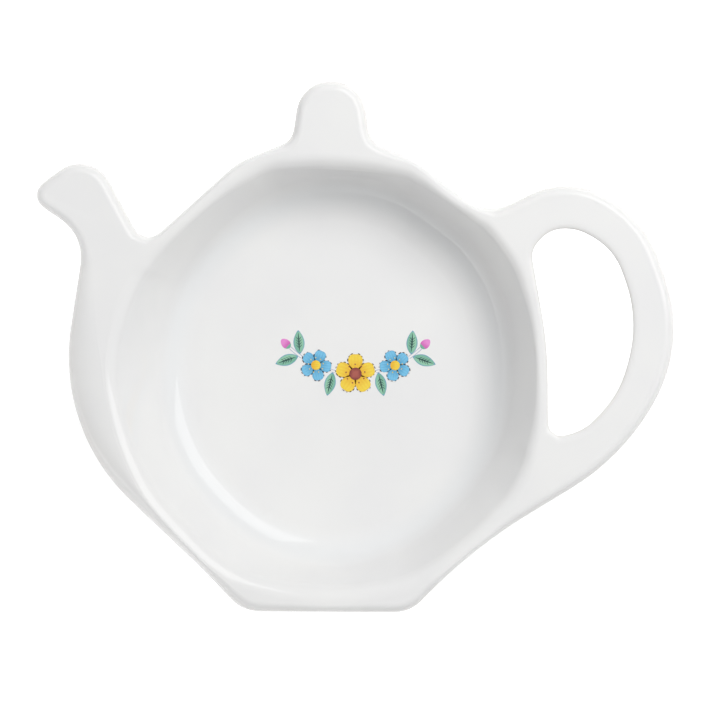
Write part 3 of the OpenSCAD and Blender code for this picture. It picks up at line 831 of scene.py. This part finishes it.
def ink_wash_group():
    """Fired transfer colour: a pale and a deep tone, mottled as ink lies in tiny pools."""
    grey = rgb(128, 128, 128)
    tree, make, given, out = shader_group(
        "ink_wash", {"Pale": grey, "Deep": grey, "Rim": grey, "Depth": 0.0, "Rim Mask": 0.0,
                     "Mottle": 0.5}, ("Color",))
    pools, grain = make.noise(INK_POOLS, 3.0, 0.6), make.noise(INK_GRAIN, 1.0)
    depth = given["Depth"] + ((pools - 0.5) + (grain - 0.5) * 0.5) * given["Mottle"]
    tone = make.blend(given["Pale"], given["Deep"], make.ramp(depth, 0.0, 1.0, kind="LINEAR"))
    make.feed(out["Color"], make.blend(tone, given["Rim"], given["Rim Mask"]))
    return tree


GLAZE_SURFACE = glaze_surface_group()
INK_WASH = ink_wash_group()


# Finishes
def new_material(name):
    material = bpy.data.materials.new(name)
    material.use_nodes = True
    return material, Maker(material.node_tree), material.node_tree.nodes["Principled BSDF"]


def glazed(make, shader, pinholes=1.0):
    """Gives a shader the surface of the glaze."""
    surface = make.node("ShaderNodeGroup", node_tree=GLAZE_SURFACE)
    surface.inputs["Pinholes"].default_value = pinholes
    height, rough = (Value(make, s) for s in surface.outputs)
    make.feed(shader.inputs["Normal"], make.out(
        "ShaderNodeBump", {"Strength": 1.0, "Distance": MM, "Height": height}, "Normal"))
    make.feed(shader.inputs["Roughness"], rough)
    shader.inputs["IOR"].default_value = GLAZE_IOR


def porcelain():
    """White ware under a clear glaze, cooler where it pools, with the edges' outermost line painted
    darker: partly thin glaze, partly painted shade.
    """
    material, make, shader = new_material("glazed_porcelain")
    cloud = make.ramp(make.noise(CLOUDS), 0.3, 0.7)
    tone = make.blend(rgb(231, 231, 230), rgb(228, 228, 228), cloud)
    tone = make.blend(tone, rgb(226, 228, 229), make.attribute("glaze_pool") * POOL_COOL)
    # Painted shade: the edges' outermost line is darkened in patches, partly as thin glaze and partly
    # as the shade of the steep edge
    thin_glaze_and_shade = make.attribute("thin_glaze_and_edge_shade") * make.noise(THIN_GLAZE_AND_SHADE_PATCHES)
    tone = make.blend(tone, rgb(222, 220, 217), thin_glaze_and_shade * THIN_GLAZE_AND_SHADE_DARK)
    # Rare grains of iron in the clay show as pale brown specks
    speck = make.rare_spots(SPECKS, 1, SPECK_CHANCE, 0.01, 0.035, 0.5)
    make.feed(shader.inputs["Base Color"], make.blend(tone, rgb(170, 150, 128), speck))
    glazed(make, shader)
    return material


def biscuit():
    """Bare fired clay of the foot ring, ground flat where it stands and soiled by use."""
    material, make, shader = new_material("bare_biscuit")
    grain = make.noise(CLAY_GRAIN, 4.0, 0.65)
    tone = make.blend(rgb(226, 220, 208), rgb(206, 198, 184), make.ramp(grain, 0.35, 0.7))
    ground = make.ramp(make.parts(make.place())[2], 0.0, SOIL_H * MM, 1, 0)
    soil = ground * make.ramp(make.noise(SOIL_PATCHES, 3.0), 0.42, 0.7, 0, 0.55)
    make.feed(shader.inputs["Base Color"], make.blend(tone, rgb(168, 158, 146), soil))
    make.feed(shader.inputs["Roughness"], make.ramp(grain, 0.3, 0.7, *BARE_ROUGHNESS))
    make.feed(shader.inputs["Normal"], make.out(
        "ShaderNodeBump", {"Strength": 0.5, "Distance": GRAIN_H * MM, "Height": grain}, "Normal"))
    return material


def film_mask(make, rule):
    """A mask from a film's own attributes: a ramp over one of them, a function or a number."""
    if isinstance(rule, tuple):
        return make.ramp(make.attribute(rule[0]), *rule[1:])
    return rule(make) if callable(rule) else rule


def printed(name, pale, deep, rim, depth, rim_mask=0.0, mottle=0.5):
    """A fired transfer colour, from pale to deep, with a line along its rim."""
    material, make, shader = new_material(name)
    colour = make.out("ShaderNodeGroup", {
        "Pale": pale, "Deep": deep, "Rim": rim, "Mottle": mottle,
        "Depth": film_mask(make, depth), "Rim Mask": film_mask(make, rim_mask),
    }, "Color", node_tree=INK_WASH)
    make.feed(shader.inputs["Base Color"], colour)
    glazed(make, shader, pinholes=0.0)
    return material


def petal_streaks(make):
    """Deep at the flower's heart, running out in streaks."""
    fine = make.math("SINE", make.attribute("film_across") * 14.0)
    return make.ramp(make.attribute("film_along"), 0.0, 0.85, 0.95, 0.1) + fine * 0.12


def leaf_wash(make):
    """One half of the leaf lies in shade, and its foot is the deepest."""
    side = make.ramp(make.attribute("film_across"), -0.25, 0.25, 0.25, 0.7)
    return side + make.ramp(make.attribute("film_along"), 0, 0.5, 0.35, 0)


# Masks over a film: its attribute, and the ramp over it
PETAL_RIM = ("film_rim", 0.86, 0.98, 0, 0.35)
LEAF_RIM = ("film_rim", 0.78, 0.9, 0, 0.85)
BUD_WASH, BUD_CUP = ("film_along", 0.1, 0.8, 1.0, 0.1), ("film_along", 0.3, 0.18, 0, 1)
HEART_WASH, EVEN_WASH = ("film_rim", 0.2, 0.95, 0.1, 0.9), ("film_along", 0, 1, 0.3, 0.7)
INK = rgb(52, 38, 40)
GLAZE = porcelain()
BARE = biscuit()
SKY = printed("ink_sky_blue", rgb(118, 190, 226), rgb(74, 146, 186), rgb(62, 118, 160),
              petal_streaks, PETAL_RIM)
SUN = printed("ink_sun_yellow", rgb(238, 208, 72), rgb(226, 172, 44), rgb(206, 160, 50),
              petal_streaks, PETAL_RIM)
LEAF = printed("ink_leaf_green", rgb(150, 200, 170), rgb(112, 172, 150), rgb(110, 158, 186),
               leaf_wash, LEAF_RIM)
VEIN = printed("ink_leaf_vein", rgb(66, 104, 96), rgb(44, 70, 72), INK, EVEN_WASH)
PINK = printed("ink_bud_pink", rgb(226, 140, 206), rgb(200, 92, 172), rgb(112, 172, 150),
               BUD_WASH, BUD_CUP)
RUST = printed("ink_rust", rgb(172, 92, 80), rgb(128, 58, 54), INK, HEART_WASH, PETAL_RIM)
STEM = printed("ink_stem_grey", rgb(186, 192, 210), rgb(160, 168, 192), INK, EVEN_WASH)
LINE = printed("ink_line", rgb(74, 56, 54), rgb(40, 28, 30), INK, EVEN_WASH, mottle=0.9)


# Geometry Nodes
SAME_POINT = 0.002
POINTED, BUD_POINTED, STROKE_POINTED = 0.8, 0.55, 0.5
LEAF_TAPER, PETAL_TAPER, PETAL_MEAN_W, PETAL_NOTCH = 0.12, 0.16, 0.86, 0.12
# The veins as shares of the leaf's length and of the middle vein's width, and their lean
VEIN_LONG, SIDE_START, SIDE_RUN, SIDE_W, SIDE_LEAN = 0.8, 0.26, 0.44, 0.45, 42
DASH_SHORTEST, DASH_LONGEST = 0.55, 1.2


class Growth(Maker):
    """A Geometry Nodes tree with named inputs, which takes a mesh of seed points."""

    def __init__(self, name, sizes):
        super().__init__(bpy.data.node_groups.new(name, "GeometryNodeTree"))
        face = self.tree.interface
        face.new_socket("Geometry", in_out="INPUT", socket_type="NodeSocketGeometry")
        self.ids = {}
        for label, value in sizes.items():
            kind = "NodeSocketInt" if isinstance(value, int) else "NodeSocketFloat"
            socket = face.new_socket(label, in_out="INPUT", socket_type=kind)
            socket.default_value = value
            self.ids[label] = socket.identifier
        face.new_socket("Geometry", in_out="OUTPUT", socket_type="NodeSocketGeometry")
        inner = self.tree.nodes.new("NodeGroupInput").outputs
        self.given = {s.name: Value(self, s) for s in inner}
        self.result = self.tree.nodes.new("NodeGroupOutput").inputs

    def finish(self, geometry, material):
        made = self.out("GeometryNodeRealizeInstances", {0: geometry})
        made = self.out("GeometryNodeSetMaterial", {"Geometry": made, "Material": material})
        self.feed(self.result[0], made)
        return self

    def store(self, geometry, name, value):
        return self.out("GeometryNodeStoreNamedAttribute", {
            "Geometry": geometry, "Name": name, "Value": value}, data_type="FLOAT", domain="POINT")

    def moved(self, geometry, x=0.0, y=0.0, z=0.0):
        return self.out("GeometryNodeTransform", {
            "Geometry": geometry, "Translation": self.vector(x, y, z)})

    def placed(self, geometry, x, y, z):
        return self.out("GeometryNodeSetPosition", {
            "Geometry": geometry, "Position": self.vector(x, y, z)})

    def line_of_points(self, count, start=0.0, pitch=0.0):
        return self.out("GeometryNodeMeshLine", {
            "Count": count, "Start Location": self.vector(start),
            "Offset": self.vector(pitch)}, mode="OFFSET")

    def copies(self, points, motif, rotation, **more):
        return self.out("GeometryNodeInstanceOnPoints", {
            "Points": points, "Instance": motif, "Rotation": rotation, **more})

    def film(self, columns, rows, shape):
        """A thin closed film. shape turns places on a square, -1 to 1 each way, into X and Y."""
        made = self.out("GeometryNodeMeshGrid", {"Size X": 2.0, "Size Y": 2.0,
                                                 "Vertices X": columns, "Vertices Y": rows})
        u, v = self.parts(self.out("GeometryNodeInputPosition"))[:2]
        made = self.store(made, "film_along", u * 0.5 + 0.5)
        made = self.store(made, "film_across", v)
        made = self.store(made, "film_rim", self.math(
            "MAXIMUM", self.math("ABSOLUTE", u), self.math("ABSOLUTE", v)))
        made = self.placed(made, *shape(u, v), 0.0)
        raised = self.out("GeometryNodeExtrudeMesh", {
            "Mesh": made, "Offset": self.vector(0.0, 0.0, 1.0), "Offset Scale": self.given["Film"],
            "Individual": False}, "Mesh", mode="FACES")
        both = self.join(raised, self.out("GeometryNodeFlipFaces", {"Mesh": made}))
        return self.out("GeometryNodeMergeByDistance", {"Geometry": both, "Distance": SAME_POINT * MM})

    def ellipse(self, u, v, length, width):
        """A square bent into an ellipse."""
        return (u * self.math("SQRT", 1.0 - v * v * 0.5) * (length * 0.5),
                v * self.math("SQRT", 1.0 - u * u * 0.5) * (width * 0.5))

    def leaf(self, columns, rows, length, width, point=POINTED):
        """A pointed leaf along X from the origin, widest before its middle."""
        def shape(u, v):
            bow = self.math("MAXIMUM", self.math("COSINE", u * (math.pi / 2)), 0.0) ** point
            return (u * 0.5 + 0.5) * length, v * bow * (1.0 - u * LEAF_TAPER) * (width * 0.5)
        return self.film(columns, rows, shape)

    def disc(self, steps, radius):
        return self.film(steps, steps, lambda u, v: self.ellipse(u, v, radius * 2.0, radius * 2.0))

    def on_seeds(self, motif, material):
        """Puts a motif on each seed point, turned about Z by the point's own angle."""
        turn = self.out("GeometryNodeInputNamedAttribute", {"Name": "turn"}, "Attribute",
                        data_type="FLOAT")
        return self.finish(self.copies(
            self.given["Geometry"], motif, self.vector(0.0, 0.0, turn)), material)

    def ring_of(self, motif, count, out, first_turn):
        """Copies of a motif round the origin, each moved out along its own direction."""
        index = self.out("GeometryNodeInputIndex")
        turn = index * (2 * math.pi / count) + first_turn
        return self.copies(self.line_of_points(count), self.moved(motif, out),
                           self.vector(0.0, 0.0, turn))

    def join(self, *pieces):
        both = self.node("GeometryNodeJoinGeometry")
        for piece in pieces:
            self.feed(both.inputs[0], piece)
        return Value(self, both.outputs[0])


def grown(name, growth, seeds, values, node=None, turns=None, edges=()):
    """Runs a tree on its seed points and keeps the plain mesh as one finished piece."""
    mesh = bpy.data.meshes.new(name)
    mesh.from_pydata([tuple(p) for p in put(seeds)], list(edges), [])
    angles = mesh.attributes.new("turn", "FLOAT", "POINT")
    angles.data.foreach_set("value", np.radians(turns if turns is not None else [0] * len(seeds)))
    piece = bpy.data.objects.new(name, mesh)
    bpy.context.scene.collection.objects.link(piece)
    modifier = piece.modifiers.new(name, "NODES")
    modifier.node_group = growth.tree
    for label, value in values.items():
        modifier[growth.ids[label]] = value
    graph = bpy.context.evaluated_depsgraph_get()
    made = bpy.data.meshes.new_from_object(piece.evaluated_get(graph))
    piece.modifiers.remove(modifier)
    piece.data = made
    keep(piece, node)
    return piece


def petal_size(r):
    """Radius of one petal of a flower, as its circles touch each other."""
    return r * math.sin(math.pi / PETALS) / (1 + math.sin(math.pi / PETALS))


def petals_growth(name, material):
    """Rings of petals, one ring on each seed."""
    grow = Growth(name, {"Petals": PETALS, "Flower Radius": 4 * MM, "Petal Length": 4 * MM,
                         "Petal Width": 3 * MM, "Film": FILM * MM})
    size = grow.given

    def petal(u, v):
        """Narrower towards the heart, with a shallow notch in the tip."""
        x, y = grow.ellipse(u, v, size["Petal Length"], size["Petal Width"])
        tip = grow.math("MAXIMUM", u, 0.0) * (1.0 - grow.math("ABSOLUTE", v))
        return x * (1.0 - tip * PETAL_NOTCH), y * (u * PETAL_TAPER + PETAL_MEAN_W)

    out = size["Flower Radius"] - size["Petal Length"] * 0.5
    ring = grow.ring_of(grow.film(15, 15, petal), size["Petals"], out, math.pi / 2)
    return grow.on_seeds(ring, material)


def heart_growth(name, material):
    """A round heart with a ring of dots about it, on each seed."""
    grow = Growth(name, {"Heart Radius": 1 * MM, "Dots": 9, "Dot Radius": 0.16 * MM,
                         "Dot Ring": 1.4 * MM, "Film": FILM * MM})
    size = grow.given
    dots = grow.ring_of(grow.disc(5, size["Dot Radius"]), size["Dots"], size["Dot Ring"], 0.2)
    return grow.on_seeds(grow.join(grow.disc(13, size["Heart Radius"]), dots), material)


def leaf_growth(name, material, point=POINTED):
    """A pointed leaf, or bud, on each seed."""
    grow = Growth(name, {"Leaf Length": LEAF_LEN * MM, "Leaf Width": LEAF_W * MM,
                         "Film": FILM * MM})
    motif = grow.leaf(25, 13, grow.given["Leaf Length"], grow.given["Leaf Width"], point)
    return grow.on_seeds(motif, material)


def vein_growth(name, material):
    """The middle vein of a leaf with short side veins, on each seed."""
    grow = Growth(name, {"Leaf Length": LEAF_LEN * MM, "Vein Width": 0.3 * MM, "Side Veins": 4,
                         "Side Length": 0.9 * MM, "Film": FILM * MM})
    size = grow.given
    long = size["Leaf Length"]
    middle = grow.leaf(17, 3, long * VEIN_LONG, size["Vein Width"])
    veins = [grow.moved(middle, long * ((1 - VEIN_LONG) / 2))]
    stroke = grow.leaf(7, 3, size["Side Length"], size["Vein Width"] * SIDE_W)
    pitch = long * SIDE_RUN / size["Side Veins"]
    for side in (-1, 1):
        feet = grow.line_of_points(size["Side Veins"], long * SIDE_START, pitch)
        lean = side * math.radians(SIDE_LEAN)
        veins.append(grow.copies(feet, stroke, grow.vector(0.0, 0.0, lean)))
    return grow.on_seeds(grow.join(*veins), material)


def stem_growth(name, material):
    """Two thin lines along the seed path, one on each side of it, as flat as the film."""
    grow = Growth(name, {"Stem Width": STEM_W * MM, "Line Width": 0.14 * MM,
                         "Film": FILM * MM})
    size = grow.given
    path = grow.out("GeometryNodeMeshToCurve", {"Mesh": size["Geometry"]})
    across = grow.out("ShaderNodeVectorMath", {
        0: grow.out("GeometryNodeInputTangent"), 1: (0.0, 0.0, 1.0)}, operation="CROSS_PRODUCT")
    ring = grow.out("GeometryNodeCurvePrimitiveCircle", {
        "Resolution": 8, "Radius": size["Line Width"] * 0.5})
    lines = []
    for side in (-0.5, 0.5):
        shift = grow.out("ShaderNodeVectorMath", {
            0: across, "Scale": size["Stem Width"] * side}, operation="SCALE")
        line = grow.out("GeometryNodeSetPosition", {"Geometry": path, "Offset": shift})
        lines.append(grow.out("GeometryNodeCurveToMesh", {
            "Curve": line, "Profile Curve": ring, "Fill Caps": True}))
    x, y, z = grow.parts(grow.out("GeometryNodeInputPosition"))
    low = FLOOR_Z * MM
    flat = (z - low) * (size["Film"] / size["Line Width"]) + low
    made = grow.placed(grow.join(*lines), x, y, flat)
    return grow.finish(grow.store(made, "film_along", 0.5), material)


def dash_growth(name, material):
    """Short pen strokes along the seed path, of uneven length, with some left out."""
    grow = Growth(name, {"Pitch": 0.75 * MM, "Dash Length": 0.6 * MM, "Dash Width": 0.17 * MM,
                         "Left Out": 0.22, "Seed": 7, "Film": FILM * MM})
    size = grow.given
    path = grow.out("GeometryNodeMeshToCurve", {"Mesh": size["Geometry"]})
    at = grow.node("GeometryNodeCurveToPoints", {"Curve": path, "Length": size["Pitch"]},
                   mode="LENGTH").outputs
    points, tangent = (Value(grow, at[label]) for label in ("Points", "Tangent"))
    chance = grow.out("FunctionNodeRandomValue", {"Seed": size["Seed"]}, 1, data_type="FLOAT")
    stretch = grow.out("FunctionNodeRandomValue", {
        2: DASH_SHORTEST, 3: DASH_LONGEST, "Seed": size["Seed"] + 1.0}, 1, data_type="FLOAT")
    stroke = grow.leaf(7, 3, size["Dash Length"], size["Dash Width"], STROKE_POINTED)
    along = grow.out("FunctionNodeAlignRotationToVector", {"Vector": tangent}, axis="X")
    made = grow.copies(points, grow.moved(stroke, size["Dash Length"] * -0.5), along,
                       Selection=grow.math("GREATER_THAN", chance, size["Left Out"]),
                       Scale=grow.vector(stretch, stretch, 1.0))
    return grow.finish(made, material)


def ring_growth(name, material):
    """A ring swept round the well's axis, with rounded edges."""
    grow = Growth(name, {"Ring Radius": 31 * MM, "Ring Width": 3.4 * MM, "Ring Height": 2.2 * MM,
                         "Edge": 0.6 * MM, "Round Steps": 192})
    size = grow.given
    circle = grow.out("GeometryNodeCurvePrimitiveCircle", {
        "Resolution": size["Round Steps"],
        "Radius": size["Ring Radius"] - size["Ring Width"] * 0.5})
    section = grow.out("GeometryNodeCurvePrimitiveQuadrilateral", {
        "Width": size["Ring Width"], "Height": size["Ring Height"]})
    section = grow.out("GeometryNodeFilletCurve", {
        "Curve": section, "Radius": size["Edge"], "Count": 6}, mode="POLY")
    ring = grow.out("GeometryNodeCurveToMesh", {"Curve": circle, "Profile Curve": section})
    return grow.on_seeds(grow.moved(ring, z=size["Ring Height"] * 0.5), material)


# Places along the garland's stem
def on_stem(along, out=0.0):
    """A point at a distance along the stem and out from it, and the stem's own direction there."""
    turn = along / STEM_R
    r = STEM_R + out
    heart = np.array([GARLAND_X, GARLAND_Y + STEM_R])
    place = heart + r * np.array([math.sin(turn), -math.cos(turn)])
    return (place[0], place[1], FLOOR_Z), math.degrees(turn)


def stem_paths():
    """The stretches of stem that lie between the flowers, as points and edges."""
    points, edges = [], []
    for side in (-1, 1):
        for start, end in ((BIG_FLOWER_R, FLOWER_RUN - SMALL_FLOWER_R),
                           (FLOWER_RUN + SMALL_FLOWER_R, STEM_END)):
            first = len(points)
            points += [on_stem(side * along)[0]
                       for along in np.linspace(start, end, STEM_STEPS + 1)]
            edges += [(first + k, first + k + 1) for k in range(STEM_STEPS)]
    return points, edges


def petal_outlines(lift):
    """Outlines of all the petals, along which the pen strokes run."""
    points, edges = [], []
    for along, r in ((-FLOWER_RUN, SMALL_FLOWER_R), (0, BIG_FLOWER_R), (FLOWER_RUN, SMALL_FLOWER_R)):
        (x, y, z), turn = on_stem(along)
        size = petal_size(r)
        for k in range(PETALS):
            a = math.radians(turn + 90 + k * 360 / PETALS)
            heart = np.array([x, y]) + (r - size) * np.array([math.cos(a), math.sin(a)])
            first = len(points)
            for t in np.radians(np.linspace(-PEN_TURN, PEN_TURN, PEN_STEPS + 1)):
                dip = PEN_DIP * math.exp(-(t / PEN_DIP_TURN) ** 2)
                reach = PEN_REACH * size * (1 - dip)
                q = heart + reach * np.array([math.cos(a + t), math.sin(a + t)])
                points.append((q[0], q[1], z + lift))
            edges += [(first + k, first + k + 1) for k in range(PEN_STEPS)]
    return points, edges


def leaf_seeds():
    seeds, turns = [], []
    for side in (-1, 1):
        for along, out, lean in LEAVES:
            place, turn = on_stem(side * along, out * STEM_W / 2)
            seeds.append(place)
            turns.append(turn + out * (side * lean - 90))
    return seeds, turns


def lifted(points, lift):
    return [(x, y, z + lift) for x, y, z in points]


def print_garland():
    """The garland on the floor of the well, one piece for each colour."""
    small, small_turns = zip(*(on_stem(side * FLOWER_RUN) for side in (-1, 1)))
    big, big_turn = on_stem(0)
    stems, stem_edges = stem_paths()
    grown("stem_lines", stem_growth("stem_lines", STEM), stems, {}, "print_stems", edges=stem_edges)
    seeds, turns = leaf_seeds()
    grown("leaf_washes", leaf_growth("leaf_washes", LEAF), seeds,
          {"Leaf Length": LEAF_LEN * MM, "Leaf Width": LEAF_W * MM}, "print_leaves", turns)
    grown("leaf_veins", vein_growth("leaf_veins", VEIN), lifted(seeds, 0.5 * FILM),
          {"Leaf Length": LEAF_LEN * MM}, "print_leaf_veins", turns)
    petals = petals_growth("petal_rings", SKY)
    for name, node, seeds, turns, r, ink in (
            ("blue_petals", "print_blue_petals", small, small_turns, SMALL_FLOWER_R, SKY),
            ("yellow_petals", "print_yellow_petals", [big], [big_turn], BIG_FLOWER_R, SUN)):
        size = petal_size(r)
        piece = grown(name, petals, seeds,
                      {"Flower Radius": r * MM, "Petal Length": PETAL_LONG * size * MM,
                       "Petal Width": PETAL_WIDE * size * MM}, node, turns)
        piece.data.materials.clear()
        piece.data.materials.append(ink)
    for name, node, seeds, r, ink in (
            ("blue_hearts", "print_blue_hearts", small, SMALL_FLOWER_R, SUN),
            ("yellow_heart", "print_yellow_heart", [big], BIG_FLOWER_R, RUST)):
        grown(name, heart_growth(name, ink), lifted(seeds, FILM),
              {"Heart Radius": HEART_SHARE * r * MM, "Dot Ring": DOT_RING_SHARE * r * MM,
               "Dot Radius": DOT_SHARE * r * MM, "Film": 0.5 * FILM * MM}, node)
    ends = [on_stem(side * STEM_END) for side in (-1, 1)]
    grown("buds", leaf_growth("buds", PINK, BUD_POINTED), [place for place, turn in ends],
          {"Leaf Length": BUD_LEN * MM, "Leaf Width": BUD_W_SHARE * BUD_LEN * MM},
          "print_buds", [turn + (180 if k == 0 else 0) for k, (place, turn) in enumerate(ends)])
    outlines, outline_edges = petal_outlines(0.6 * FILM)
    grown("pen_strokes", dash_growth("pen_strokes", LINE), outlines, {}, edges=outline_edges)


def make_dish():
    """The glazed pieces, each in the place of its CAD node."""
    spout_heart = mix(mix(spout_low[0], notch_in[0], 0.5), np.array(TEAPOT[14][:2]), 0.3)
    knob_heart = (KNOB_SHIFT_SHARE * WELL_RX, WELL_RY + LID_RIM + KNOB_H / 2)
    knob, spout = slice(KNOB, NOTCH + 1), slice(SPOUT, BELLY + 1)
    spout_sections = edge_sections(outline[spout], outline_in[spout], True)
    clays = [
        make_bowl(),
        make_tab("lid_knob", outline_sections[knob], outline_in[knob], knob_heart),
        make_tab("spout", spout_sections, outline_in[spout], spout_heart, True),
        make_handle(),
    ]
    joined_normals(clays)
    for clay in clays:
        glazed_piece(clay, GLAZE)


make_dish()
grown("biscuit_foot_ring", ring_growth("biscuit_foot_ring", BARE), [(0, 0, 0)],
      {"Ring Radius": FOOT_R * MM, "Ring Width": FOOT_W * MM, "Edge": FOOT_EDGE * MM,
       "Ring Height": (FOOT_H + FOOT_EDGE) * MM}, "foot_ring")
print_garland()

# Table, light and camera
TABLE_SHADE, TABLE_GLOW, TABLE_SIZE = 0.9, 0.5, 3
# Overhead the sky has one strength, and low down one for each side of the room. Each fade is a
# ramp over the height of a direction, where 0 is the horizon and 1 straight up
SKY_TOP, TOP_FADE = 0.68, (0.55, 0.85)
SKY_SIDES = [(45, 0.05), (135, 0.88), (225, 0.15), (315, 0.88)]
HORIZON_FADE = (0.02, 0.3)
# Light from below the table's level, for looks at the underside without the table
UNDER_FADE = (-0.1, -0.3, 0, 0.6)
# A low band of light, which makes the fine line in the fillet
LOW_GLOW, GLOW_STARTS, GLOW_ENDS = (225, 1.75), (0.0, 0.02), (0.2, 0.22, 1, 0)
CAMERA_TILT, CAMERA_TURN, CAMERA_FAR, SENSOR_W = 5.0, 32.0, 1.2, 36
VIEW_W, VIEW_X, VIEW_Y = 141.0, 6.3, 3.58

scene = bpy.context.scene
scene.view_settings.view_transform = "Standard"


def table_material():
    """Pale table that shows white from the camera and keeps the dish's shadow."""
    material, make, shader = new_material("pale_table")
    shader.inputs["Base Color"].default_value = (TABLE_SHADE, TABLE_SHADE, TABLE_SHADE, 1)
    shader.inputs["Roughness"].default_value = 0.9
    shader.inputs["Specular IOR Level"].default_value = 0.0
    shader.inputs["Emission Color"].default_value = (1, 1, 1, 1)
    either = make.math("MAXIMUM", *(make.out("ShaderNodeLightPath", output=ray)
                                    for ray in ("Is Camera Ray", "Is Glossy Ray")))
    make.feed(shader.inputs["Emission Strength"], either * TABLE_GLOW)
    return material


bpy.ops.mesh.primitive_plane_add(size=TABLE_SIZE, location=(0, 0, -0.1 * MM))
table = bpy.context.object
table.name = "pale_table"
table.data.materials.append(table_material())

world = bpy.data.worlds.new("studio")
world.use_nodes = True
air = Maker(world.node_tree)
background = world.node_tree.nodes["Background"]
background.inputs["Color"].default_value = (1, 1, 1, 1)
towards = air.out("ShaderNodeTexCoord", output="Generated")
level = air.out("ShaderNodeVectorMath", {0: towards, 1: (1.0, 1.0, 0.0)}, operation="MULTIPLY")
level = air.out("ShaderNodeVectorMath", {0: level}, operation="NORMALIZE")
height = air.parts(towards)[2]


def one_side(azimuth, strength):
    """Light from one side of the room, strongest in its middle."""
    a = math.radians(azimuth)
    facing = air.out("ShaderNodeVectorMath", {0: level, 1: (math.cos(a), math.sin(a), 0.0)},
                     "Value", operation="DOT_PRODUCT")
    return air.math("MAXIMUM", facing, 0.0) ** 2.0 * strength


sides = sum(one_side(*side) for side in SKY_SIDES) * air.ramp(height, *HORIZON_FADE)
band = air.ramp(height, *GLOW_STARTS) * air.ramp(height, *GLOW_ENDS)
sides = sides + air.ramp(height, *UNDER_FADE) + one_side(*LOW_GLOW) * band
sky = air.out("ShaderNodeMix", {
    "Factor": air.ramp(height, *TOP_FADE), "A": sides, "B": SKY_TOP}, "Result")
seen = air.out("ShaderNodeLightPath", output="Is Camera Ray")
air.feed(background.inputs["Strength"], air.out(
    "ShaderNodeMix", {"Factor": seen, "A": sky, "B": 1.0}, "Result"))
scene.world = world

rim_centre = Vector((*(-MIDDLE), RIM_Z)) * MM


def softbox(name, azimuth, zenith, distance, wide, high, strength, glossy=True):
    """A rectangular light that faces the dish. strength is how bright its face looks."""
    light = bpy.data.lights.new(name, "AREA")
    light.shape, light.size, light.size_y = "RECTANGLE", wide, high
    light.energy = strength * math.pi * wide * high
    lamp = bpy.data.objects.new(name, light)
    scene.collection.objects.link(lamp)
    a, z = math.radians(azimuth), math.radians(zenith)
    out = Vector((math.sin(z) * math.cos(a), math.sin(z) * math.sin(a), math.cos(z)))
    side = Vector((-math.sin(a), math.cos(a), 0))
    lamp.matrix_world = Matrix.Translation(rim_centre + out * distance) @ Matrix(
        (side, out.cross(side), out)).transposed().to_4x4()
    lamp.visible_glossy = glossy


# The softbox makes the narrow lights in the glaze. The fill, closer by, is not mirrored
softbox("key_softbox", azimuth=43, zenith=40, distance=1.0, wide=0.98, high=0.573, strength=1.75)
softbox("side_fill", azimuth=50, zenith=46, distance=0.8, wide=0.4, high=0.4, strength=5.2,
        glossy=False)
# A low strip lights the outer edges on the spout side
softbox("low_strip_left", azimuth=212, zenith=92, distance=0.3, wide=0.35, high=0.01, strength=14.0,
        glossy=False)

aim = Vector((VIEW_X - MIDDLE[0], VIEW_Y - MIDDLE[1], RIM_Z)) * MM
camera_data = bpy.data.cameras.new("camera")
camera = bpy.data.objects.new("camera", camera_data)
scene.collection.objects.link(camera)
tilt, turn = math.radians(CAMERA_TILT), math.radians(CAMERA_TURN)
back = Vector((math.sin(tilt) * math.cos(turn), math.sin(tilt) * math.sin(turn), math.cos(tilt)))
right = Vector((0, 1, 0)).cross(back).normalized()
camera.matrix_world = Matrix.Translation(aim + back * CAMERA_FAR) @ Matrix(
    (right, back.cross(right), back)).transposed().to_4x4()
camera_data.sensor_fit = "HORIZONTAL"
camera_data.sensor_width = SENSOR_W
camera_data.lens = SENSOR_W * CAMERA_FAR / (VIEW_W * MM)
scene.camera = camera
